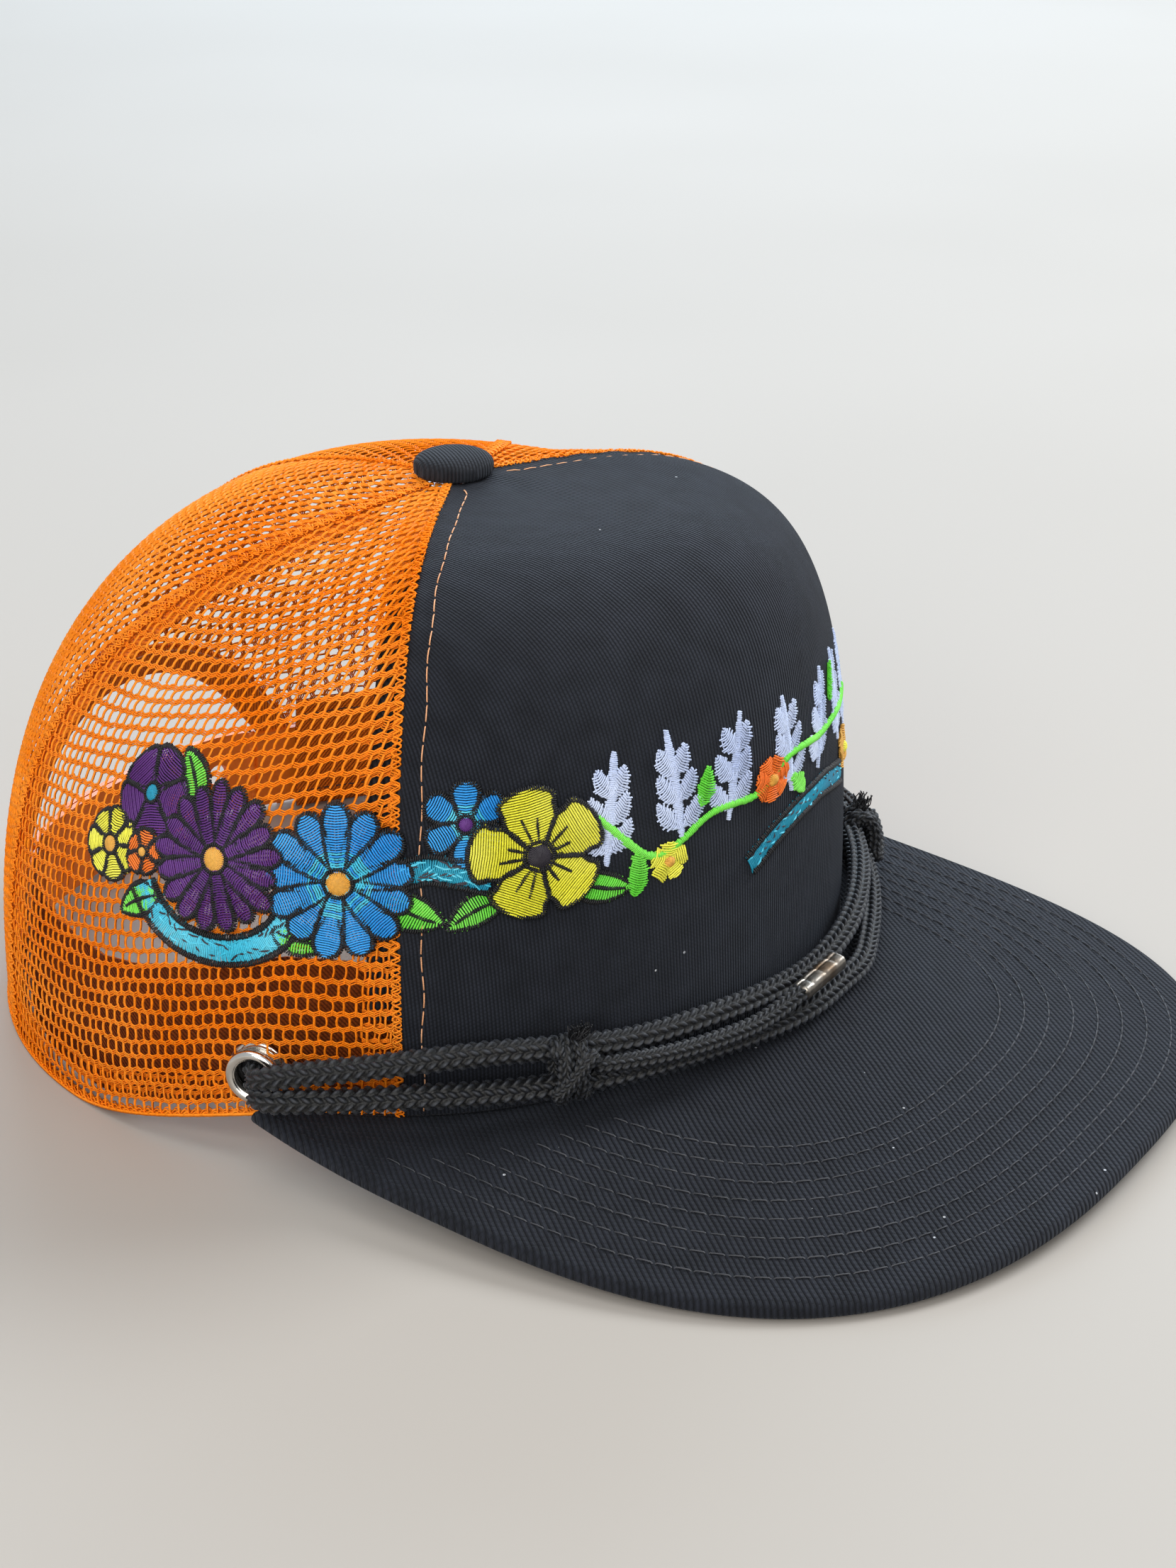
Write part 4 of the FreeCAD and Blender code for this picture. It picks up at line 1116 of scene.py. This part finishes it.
lacePlan = dict(
    diameter=4.6, tail=3.6, pitch=2.2, columns=8, relief=1.05, ring=0.3, around=48,
    upper=[(-90.2, -26.3, 20.3), (-91.4, -29.9, 21.9), (-89.2, -36.0, 23.8), (-85.2, -44.2, 25.3),
           (-77.9, -55.0, 26.9), (-68.4, -65.3, 27.6), (-57.5, -74.0, 26.2), (-44.5, -82.0, 24.4),
           (-29.0, -88.4, 24.1), (-12.5, -91.8, 22.7), (3.6, -92.4, 21.2), (17.8, -90.8, 21.4),
           (31.6, -86.8, 22.0), (46.4, -79.8, 21.6), (59.5, -72.0, 21.0), (70.4, -63.2, 21.0),
           (79.4, -52.6, 21.4), (86.0, -42.6, 21.9), (89.8, -35.6, 21.8), (91.4, -29.8, 21.4),
           (90.2, -26.3, 20.3)],
    lower=[(-90.2, -26.3, 16.7), (-91.6, -30.0, 17.4), (-89.8, -36.2, 18.6), (-85.8, -44.0, 19.2),
           (-78.6, -54.8, 19.9), (-69.0, -65.4, 19.3), (-58.0, -74.6, 18.8), (-45.2, -82.5, 18.5),
           (-30.2, -89.3, 18.1), (-15.4, -94.3, 17.3), (-2.2, -96.6, 16.9), (9.6, -95.6, 16.6),
           (19.7, -95.0, 15.8), (31.8, -89.8, 15.6), (44.6, -83.6, 15.5), (57.8, -76.0, 15.4),
           (70.2, -66.2, 15.6), (79.8, -54.8, 16.0), (86.5, -43.6, 16.4), (90.1, -35.8, 16.5),
           (91.6, -30.0, 16.6), (90.2, -26.3, 16.7)],
    tailRight=[(-54.0, -78.6, 22.2), (-50.0, -81.8, 22.0), (-42.0, -87.9, 21.9), (-30.5, -92.8, 21.5),
               (-18.5, -95.8, 21.0), (-8.0, -96.9, 22.9)],
    tailLeft=[(72.8, -66.8, 19.4), (79.4, -61.6, 18.8), (85.8, -53.4, 18.7), (90.4, -44.8, 18.7)],
    knots=dict(right=((-57.2, -75.4, 22.6), -38.0), left=((68.2, -67.2, 18.4), 43.0)),
    aglet=dict(length=13.0, radius=2.0, flatness=0.80, squareness=3.4, dents=(0.2, 0.5, 0.8), dent=0.16,
               seam=0.42),
    wrap=3.1, cross=2.9, neck=3.3, frayCount=70, fray=0.13)


def routeLine(name, points):
    curve = bpy.data.curves.new(name, "CURVE")
    curve.dimensions = "3D"
    curve.resolution_u = 24
    spline = curve.splines.new("NURBS")
    spline.points.add(len(points) - 1)
    for at, p in zip(spline.points, points):
        at.co = (p[0] * mm, p[1] * mm, p[2] * mm, 1)
    spline.order_u = 3
    spline.use_endpoint_u = True
    holder = addObject(name, curve)
    bpy.context.view_layer.update()
    read = bpy.data.meshes.new_from_object(holder)
    line = np.array([v.co for v in read.vertices]) / mm
    bpy.data.objects.remove(holder)
    return line


def evenly(line, step):
    along = runLength(line)
    keep = np.concatenate([[True], np.diff(along) > 1e-7])
    s = np.linspace(0, along[-1], max(8, int(along[-1] / step)))
    return pointsAt(s, along[keep], line[keep]), s


def braidTube(name, line, diameter, squeeze=None, **more):
    plan = lacePlan
    line, s = evenly(line, plan["ring"])
    ahead = unit(np.gradient(line, axis=0))
    side = np.empty_like(line)
    side[0] = np.cross(ahead[0], [0.1, 0.2, 1.0])
    for k in range(1, len(line)):
        side[k] = side[k - 1] - ahead[k] * (side[k - 1] @ ahead[k])
        side[k] /= np.linalg.norm(side[k])
    side[0] /= np.linalg.norm(side[0])
    third = np.cross(ahead, side)
    around = plan["around"]
    turn = np.linspace(0, 1, around, endpoint=False)
    lane = turn * plan["columns"]
    inLane = lane - np.floor(lane) - 0.5
    sign = np.where(np.floor(lane) % 2 == 0, 1.0, -1.0)
    grow = s[:, None] / (plan["pitch"] * diameter / plan["diameter"])
    wave = np.cos(2 * np.pi * (grow + sign * inLane * 0.75 + (sign > 0) * 0.5))
    bump = (0.5 + 0.5 * wave) ** 0.8 * np.cos(np.pi * inLane * 0.96) ** 0.7
    relief = plan["relief"] * diameter / plan["diameter"]
    radius = diameter / 2 + relief * (bump - 0.72)
    if squeeze is not None:
        radius = radius * squeeze(s, s[-1])[:, None]
    close = np.minimum(s, s[-1] - s)[:, None] / (diameter * 0.3)
    radius = radius * np.sqrt(np.clip(1 - (1 - np.clip(close, 0, 1)) ** 2, 0.05, 1))
    angle = turn * 2 * np.pi
    points = (line[:, None] + side[:, None] * (radius * np.cos(angle))[..., None]
              + third[:, None] * (radius * np.sin(angle))[..., None])
    nu, nv = points.shape[:2]
    faces = ringFaces(nu, nv)
    flat = np.concatenate([points.reshape(-1, 3), line[:1], line[-1:]])
    heights = np.concatenate([np.clip(bump, 0, 1).ravel(), [0.3, 0.3]])
    first, last = nu * nv, nu * nv + 1
    for j in range(nv):
        k = (j + 1) % nv
        faces += [(first, j, k), (last, (nu - 1) * nv + k, (nu - 1) * nv + j)]
    piece = settle(linkMesh(name, flat, faces, relief=heights), "cord", body="lace", **more)
    return piece, line, s[-1]


def knotLine(centre, heading):
    a = math.radians(heading)
    along = np.array([math.cos(a), math.sin(a), 0])
    out = np.array([math.sin(a), -math.cos(a), 0])
    up = np.array([0, 0, 1.0])
    t = np.linspace(0, 1, 160)
    theta = 2 * np.pi * 2.75 * t + 0.6
    shift = (-3.3 + 6.4 * t) + 0.5 * np.sin(theta * 0.7)
    wrap = (np.array(centre) + along * shift[:, None] + out * (0.35 + 3.0 * np.cos(theta))[:, None]
            + up * (5.5 * np.sin(theta) + 0.4 * np.sin(2.3 * theta))[:, None])
    return wrap, along, out, up


def makeKnot(side):
    centre, heading = lacePlan["knots"][side]
    wrap, along, out, up = knotLine(centre, heading)
    pieces = [braidTube(f"knot_wraps_{side}", wrap, lacePlan["wrap"], stands=[f"lace_knot_{side}"],
                        slot="black_cord")[0]]
    t = np.linspace(0, 1, 50)[:, None]
    over = (np.array(centre) + along * (-4.6 + 9.0 * t) + out * (3.5 + 1.0 * np.sin(np.pi * t))
            + up * (-3.6 + 7.4 * smooth(t)))
    pieces.append(braidTube(f"knot_cross_{side}", over, lacePlan["cross"], slot="black_cord")[0])
    rng = np.random.RandomState(3 if side == "right" else 8)
    fray = []
    for _ in range(lacePlan["frayCount"]):
        root = np.array(centre) + up * 6.2 + along * rng.uniform(0.2, 2.6) + out * rng.uniform(-0.4, 1.8)
        lean = along * rng.uniform(-1.2, 2.4) + out * rng.uniform(-0.5, 1.8) + up * rng.uniform(1.6, 3.8)
        bend = along * rng.uniform(-0.8, 0.8) + out * rng.uniform(-0.8, 0.8)
        k = np.linspace(0, 1, 5)[:, None]
        fray.append(root - up * 0.6 + lean * k + bend * np.sin(np.pi * k))
    pieces.append(threadPiece(f"knot_fray_{side}", fray, lacePlan["fray"], "blackThread", sides=4,
                              slot="black_cord", body="lace"))
    return pieces


def makeAglet(side, end, before):
    plan = lacePlan["aglet"]
    axis = unit(end - before)
    across = unit(np.cross(axis, [0, 0, 1.0]))
    up = np.cross(across, axis)
    steps = np.linspace(0, 1, 60)
    angle = np.linspace(0, 2 * np.pi, 56, endpoint=False)
    rings = []
    for t in steps:
        dent = plan["dent"] * sum(math.exp(-((t - c) / 0.035) ** 2) for c in plan["dents"])
        lip = 1 - 0.30 * max(0, 1 - min(t, 1 - t) / 0.03) ** 2
        wide = plan["radius"] * lip
        tall = (plan["radius"] * plan["flatness"] - dent) * lip
        c, s = np.cos(angle), np.sin(angle)
        n = plan["squareness"]
        size = (np.abs(c / wide) ** n + np.abs(s / tall) ** n) ** (-1 / n)
        seam = plan["seam"] * np.exp(-((angle - 1.9) / 0.10) ** 2) * np.clip(min(t, 1 - t) * 20, 0, 1)
        size = size - seam
        at = end + axis * (-1.0 + plan["length"] * t)
        rings.append(at + across * (size * c)[:, None] + up * (size * s)[:, None])
    points = np.stack(rings, 0)
    nu, nv = points.shape[:2]
    faces = ringFaces(nu, nv)
    faces += [tuple(range(nv))[::-1], tuple(range((nu - 1) * nv, nu * nv))]
    return settle(linkMesh(f"aglet_crimp_{side}", points.reshape(-1, 3), faces), "crimp", body="lace",
                  stands=[f"aglet_{side}"], slot="aglet_metal")


def pinch(s, total):
    near = np.minimum(s, total - s)
    return 0.76 + 0.24 * smooth(near / 7.0)


def makeLace():
    plan = lacePlan
    parts = {}
    for name in ("upper", "lower", "tailRight", "tailLeft"):
        parts[name] = routeLine(name + "Route", plan[name])
    knots = {side: makeKnot(side) for side in ("right", "left")}
    tail, tailLine, tailLength = braidTube("lace_tail_braid_right", parts["tailRight"], plan["tail"],
                                           stands=["lace_tail_right"], slot="black_cord")
    short = braidTube("lace_tail_braid_left", parts["tailLeft"], plan["tail"], stands=["lace_tail_left"],
                      slot="black_cord")[0]
    crimps = dict(right=makeAglet("right", tailLine[-1], tailLine[-12]),
                  left=makeAglet("left", parts["tailLeft"][-1], parts["tailLeft"][-6]))
    necks = []
    for sign, side in ((1, "right"), (-1, "left")):
        flip = np.array([sign, 1.0, 1.0])
        for level, dz, stands in (("upper", 1.55, [f"lace_neck_{side}"]), ("lower", -1.55, ())):
            core = np.stack([eyeletCentre + eyeletAxis * s + np.array([0, 0, dz * (1 + 0.05 * s)])
                             for s in np.linspace(-3.4, 2.2, 24)]) * flip
            necks.append(braidTube(f"lace_neck_{level}_{side}", core, plan["neck"], stands=stands,
                                   slot="black_cord")[0])
    lengths = {}
    for name, extra in (("upper", knots["right"] + necks),
                        ("lower", knots["left"] + [short, crimps["left"]])):
        piece, line, length = braidTube(f"lace_{name}_braid", parts[name], plan["diameter"], squeeze=pinch,
                                        stands=[f"lace_{name}_strand"], slot="black_cord")
        lengths[name] = length
    print("lace lengths", {k: round(v, 1) for k, v in lengths.items()}, "tail", round(tailLength, 1))


makeLace()

# Embroidery, drawn flat in millimetres along the wall and then laid on the crown

artPhi = np.linspace(112, -48, 321)
artLevel = 60.0
artRow = wallPoint(artPhi, artLevel + 0 * artPhi, 0.0)
artX = runLength(artRow)


def across(phi):
    return float(np.interp(-phi, -artPhi, artX))


def layOn(flat):
    phi = np.interp(flat[:, 0], artX, artPhi)
    z = artLevel + (flat[:, 1] - artLevel) * 0.97
    return wallPoint(phi, z, -flat[:, 2])


artLines = {}


def sew(colour, x, y, lift):
    artLines.setdefault(colour, []).append(np.stack([x, y, lift], -1))


stitchPlan = dict(space=0.47, radius=0.195, edgeWidth=0.95, edgeSpace=0.42, seed=21)
needle = np.random.RandomState(stitchPlan["seed"])


def satinLine(colour, path, width, lift, space=None, taper=False):
    path = np.asarray(path, float)
    along = runLength(path)
    steps = np.arange(0, along[-1], space or stitchPlan["edgeSpace"])
    if len(steps) < 2:
        return
    at = pointsAt(steps, along, path)
    ahead = np.gradient(at, axis=0)
    ahead /= np.maximum(np.linalg.norm(ahead, axis=-1, keepdims=True), 1e-6)
    side = np.stack([-ahead[:, 1], ahead[:, 0]], -1)
    for k in range(len(at)):
        wide = width * (math.sin(math.pi * (0.12 + 0.76 * k / len(at))) if taper else 1.0)
        half = wide / 2 * needle.uniform(0.78, 1.22)
        skew = ahead[k] * needle.uniform(0.02, 0.16)
        ends = np.stack([at[k] + side[k] * half * m + skew * m for m in (-1, -0.55, 0, 0.55, 1)])
        lifts = lift + np.array([-0.25, 0.14, 0.26, 0.14, -0.25])
        sew(colour, ends[:, 0], ends[:, 1], lifts)


def bladeWidth(t, shape):
    if shape == "petal":
        return (0.34 + 0.66 * t ** 0.75) * np.sqrt(np.maximum(1 - t ** 6, 0))
    if shape == "ruffle":
        return (0.22 + 0.95 * t ** 0.8) * np.sqrt(np.maximum(1 - t ** 4, 0)) * (1 + 0.07 * np.cos(15 * t))
    if shape == "wide":
        return (0.25 + 0.75 * t ** 0.8) * np.sqrt(np.maximum(1 - t ** 8, 0)) * (1 + 0.06 * np.cos(9 * t))
    return np.sin(np.pi * np.clip(t, 0, 1) ** 0.85) ** 0.8


def blade(colour, root, angle, length, half, shape, lift, bend=0.0, vein=None, outline=True, colour2=None):
    root = np.asarray(root, float)

    def place(t, side):
        turn = angle + bend * (t - 0.3)
        ahead = np.array([math.cos(turn), math.sin(turn)])
        return root + ahead * length * t + np.array([-ahead[1], ahead[0]]) * side

    t = 0.03
    while t < 0.985:
        w = half * float(bladeWidth(np.array(t), shape))
        if w > 0.12:
            lean = 0.5 if shape == "leaf" else 0.25
            jitter = needle.uniform(-0.38, 0.38)
            pts = np.stack([place(min(t + abs(m) * lean / length * 0.9, 1.0), m * (w + jitter))
                            for m in (-1, -0.5, 0, 0.5, 1)])
            middle = 0.10 if shape == "leaf" else 0.30
            rise = lift + needle.uniform(0.0, 0.12) + np.array([-0.05, 0.22, middle, 0.22, -0.05])
            inner = colour2 and t < 0.36 and needle.uniform() < 0.6
            sew(colour2 if inner else colour, pts[:, 0], pts[:, 1], rise)
        t += stitchPlan["space"] / length
    if half > 1.2:
        for share in np.linspace(-0.8, 0.8, max(3, int(half / 0.42))):
            ts = np.linspace(0.06, 0.95, 5)
            under = np.array([place(a, share * half * float(bladeWidth(np.array(a), shape))) for a in ts])
            sew("blackThread" if outline else colour, under[:, 0], under[:, 1], lift - 0.12 + 0 * ts)
    if outline:
        ts = np.linspace(0.0, 0.999, 30)
        ws = half * bladeWidth(ts, shape)
        left = [place(a, w) for a, w in zip(ts, ws)]
        right = [place(a, -w) for a, w in zip(ts, ws)]
        satinLine("blackThread", left + right[::-1], stitchPlan["edgeWidth"], lift + 0.14)
    if vein:
        satinLine(vein, [place(a, 0) for a in np.linspace(0.08, 0.86, 10)], 0.75, lift + 0.30, taper=True)


def flower(colour, phi, z, radius, petals, heart, heartRadius, lift, shape="petal", colour2=None, turn=0.2,
           outline=True, squash=1.0, spokes=0):
    centre = np.array([across(phi), z])
    for n in range(petals):
        angle = turn + 2 * math.pi * n / petals
        reach = radius * needle.uniform(0.93, 1.04)
        wide = math.pi * radius * 0.97 / petals * squash
        start = centre + heartRadius * 0.7 * np.array([math.cos(angle), math.sin(angle)])
        blade(colour, start, angle, reach - heartRadius * 0.7, wide, shape, lift + 0.12 * (n % 2),
              colour2=colour2, outline=outline)
    for n in range(petals * spokes):
        a = turn + 2 * math.pi * (n + 0.5) / (petals * spokes) + needle.uniform(-0.06, 0.06)
        ahead = np.array([math.cos(a), math.sin(a)])
        reach = np.linspace(heartRadius, radius * needle.uniform(0.48, 0.66), 8)[:, None]
        satinLine("blackThread", centre + ahead * reach, 0.6, lift + 0.42, taper=True)
    for a in np.linspace(0, 2 * math.pi, max(12, int(heartRadius * 14)), endpoint=False):
        r = np.linspace(0.0, heartRadius, 4)
        swirl = a + r * 0.12
        sew(heart, centre[0] + r * np.cos(swirl), centre[1] + r * np.sin(swirl),
            lift + np.array([0.95, 0.92, 0.75, 0.25]))
    if outline:
        ring = np.linspace(0, 2 * math.pi, 40)
        rim = np.stack([centre[0] + heartRadius * 1.08 * np.cos(ring),
                           centre[1] + heartRadius * 1.08 * np.sin(ring)], -1)
        satinLine("blackThread", rim, 0.8, lift + 0.5)


def leaf(colour, phi, z, angle, length, half, lift=0.0, vein="blackThread", bend=0.3, outline=True):
    centre = np.array([across(phi), z])
    a = math.radians(angle)
    root = centre - 0.5 * length * np.array([math.cos(a), math.sin(a)])
    blade(colour, root, a, length, half, "leaf", lift, bend=bend, vein=vein, outline=outline)


def stem(colour, knots, width, lift, outline=0.0):
    pts = np.array([(across(p), z) for p, z in knots])
    t = np.linspace(0, 1, len(pts))
    fine = np.linspace(0, 1, 60)
    line = pointsAt(fine, t, pts)
    kernel = np.ones(9) / 9
    padded = np.concatenate([[line[0]] * 4, line, [line[-1]] * 4])
    line = np.stack([np.convolve(padded[:, n], kernel, "valid") for n in (0, 1)], -1)
    if outline:
        ahead = unit(np.gradient(line, axis=0))
        side = np.stack([-ahead[:, 1], ahead[:, 0]], -1) * width / 2
        satinLine("blackThread", line + side, outline, lift + 0.30)
        satinLine("blackThread", line - side, outline, lift + 0.30)
        for k in range(2, len(line) - 2):
            at = line[k] + side[k] * needle.uniform(-0.75, 0.75)
            dash = ahead[k] * needle.uniform(0.5, 1.1) + side[k] * needle.uniform(-0.25, 0.25)
            fleck = np.stack([at - dash, at, at + dash])
            sew("heart" if k % 2 else "cyan", fleck[:, 0], fleck[:, 1], lift + np.array([0.1, 0.42, 0.1]))
    satinLine(colour, line, width, lift, space=0.36)
    return line


def makeEmbroidery():
    # wearer's right side, over the net
    stem("cyan", [(91.0, 52.0), (88.0, 46.5), (84.0, 43.2), (79.0, 42.2), (74.0, 43.8), (70.5, 47.5),
                  (69.0, 51.5)], 5.4, 0.05, 1.1)
    for phi, z, angle, length, half in ((85.5, 73.0, 115, 11, 3.0), (91.2, 48.5, 200, 10, 3.0),
                                        (67.6, 46.6, -22, 11, 3.0), (54.2, 52.8, -40, 12, 3.6)):
        leaf("green", phi, z, angle, length, half)
    flower("yellow", 97.4, 56.5, 7.0, 7, "gold", 1.7, 0.1, "wide", turn=0.6)
    flower("violet", 92.0, 68.0, 8.4, 5, "teal", 1.6, 0.15, "wide", turn=1.2)
    flower("blossom", 91.0, 57.5, 4.2, 5, "gold", 1.0, 0.65, "petal", turn=0.3)
    flower("violet", 79.5, 60.0, 13.4, 17, "gold", 2.4, 0.85)
    flower("blue", 62.9, 58.8, 14.2, 13, "gold", 2.5, 0.45, colour2="cyan")
    # front panel
    stem("teal", [(55.5, 60.5), (52.0, 61.8), (48.0, 60.6), (44.2, 58.6)], 5.0, 0.2, 1.0)
    flower("blue", 47.4, 70.0, 8.0, 6, "violet", 1.5, 0.15, "petal", turn=0.5, squash=0.8, colour2="cyan")
    leaf("green", 46.6, 53.6, 195, 12, 3.0)
    flower("yellow", 38.7, 63.0, 12.6, 5, "heart", 2.6, 0.85, "ruffle", turn=0.5, squash=0.84,
           spokes=3)
    leaf("green", 31.0, 54.0, -30, 13, 3.0)
    # tall pale sprigs with a vine through them
    for phi, base, top, tilt in ((29.0, 58.5, 80.0, 3), (20.0, 60.0, 82.0, -2), (11.0, 61.0, 82.0, 4),
                                 (1.5, 61.0, 82.0, -3), (-8.0, 61.0, 81.5, 3), (-17.5, 60.0, 80.5, -2),
                                 (-26.5, 58.5, 78.5, 3)):
        x = across(phi)
        line = np.stack([x + tilt * np.linspace(-0.5, 0.5, 20), np.linspace(base, top, 20)], -1)
        satinLine("lilac", line, 2.3, 0.12, space=0.36, taper=True)
        for k in range(3):
            y = base + 2.6 + k * 5.4
            along = x + tilt * ((y - base) / (top - base) - 0.5)
            for side in (1, -1):
                blade("lilac", (along, y), math.pi / 2 - side * (1.0 - 0.1 * k), 7.6 - 0.8 * k, 1.9,
                      "leaf", 0.12, bend=0.4 * side, outline=False)
    stem("green", [(32.5, 70.0), (28.0, 64.5), (25.5, 58.5), (22.0, 57.2), (18.0, 61.5), (13.0, 66.0),
                   (9.0, 62.0), (5.0, 66.0), (0.0, 72.0), (-6.0, 66.0), (-12.0, 70.0), (-20.0, 64.0),
                   (-28.0, 68.0)], 1.3, 0.5)
    for place in ((25.6, 55.4, 70, 9.5, 2.2, 0.3), (15.5, 69.0, 60, 8.0, 2.0, 0.4),
                  (-1.0, 62.0, 120, 7.0, 1.9, 0.4), (-14.0, 75.0, 50, 8.0, 2.0, 0.4)):
        leaf("green", *place, vein=None, outline=False)
    flower("yellow", 21.6, 56.5, 4.0, 5, "gold", 1.1, 0.4, "petal", outline=False)
    flower("blossom", 5.2, 66.0, 4.8, 7, "gold", 1.3, 0.6, "petal", outline=False)
    flower("gold", -21.5, 56.0, 4.4, 6, "yellow", 1.2, 0.4, "petal", outline=False)
    stem("teal", [(9.0, 48.8), (4.0, 53.5), (-2.0, 56.2), (-9.0, 56.2), (-15.0, 53.8), (-21.0, 51.0)],
         4.6, 0.1, 1.0)
    slots = ["embroidery_side", "embroidery_front"]
    for colour, lines in artLines.items():
        sizes = [len(line) for line in lines]
        laid = layOn(np.concatenate(lines))
        threadPiece(f"embroidery_{colour.lower()}", np.split(laid, np.cumsum(sizes)[:-1]),
                    stitchPlan["radius"], colour, sides=4, slot="embroidery_thread",
                    stands=slots if colour == "blackThread" else ())


makeEmbroidery()
print("embroidery made")


topPlan = dict(stitch=(3.2, 0.4), inward=4.6, radius=0.2, thickness=0.68,
               bow=(-0.45, 0.12, 0.22, 0.12, -0.45))


def seamTopstitch():
    made = []
    for sign in (1, -1):
        rises = np.linspace(0.012, 0.945, 700)
        base = crownPoint(cap["frontSeam"] + 0 * rises, rises)
        perDegree = np.linalg.norm(crownPoint(cap["frontSeam"] + 0.5, rises)
                                   - crownPoint(cap["frontSeam"] - 0.5, rises), axis=-1)
        fromButton = np.hypot(base[:, 0], base[:, 1] - cap["buttonY"])
        inward = np.minimum(topPlan["inward"], 0.33 * fromButton) / perDegree
        phi = cap["frontSeam"] - inward + 0.16 * np.sin(rises * 61 + sign) + 0.1 * np.sin(rises * 23)
        line = onCrown(phi, rises, 0.10 + 0 * rises)
        normal = crownNormal(phi, rises)
        for piece, push in zip(*(dashes(path, *topPlan["stitch"]) for path in (line, line + normal))):
            out = push[2] - piece[2]
            made.append((piece + out * np.array(topPlan["bow"])[:, None]) * np.array([sign, 1.0, 1.0]))
    threadPiece("front_topstitch", made, topPlan["radius"], "peach", sides=5, slot="embroidery_thread",
                thickness=topPlan["thickness"])


seamTopstitch()

carried = dict(visor_board="board", button_shell="steel", button_rivet="steel", strap_with_holes="strap",
               strap_with_pegs="strap", strap_root_right="strap", strap_root_left="strap")
for name, finish in carried.items():
    cadNodes[name].data.materials.clear()
    cadNodes[name].data.materials.append(finishes[finish])
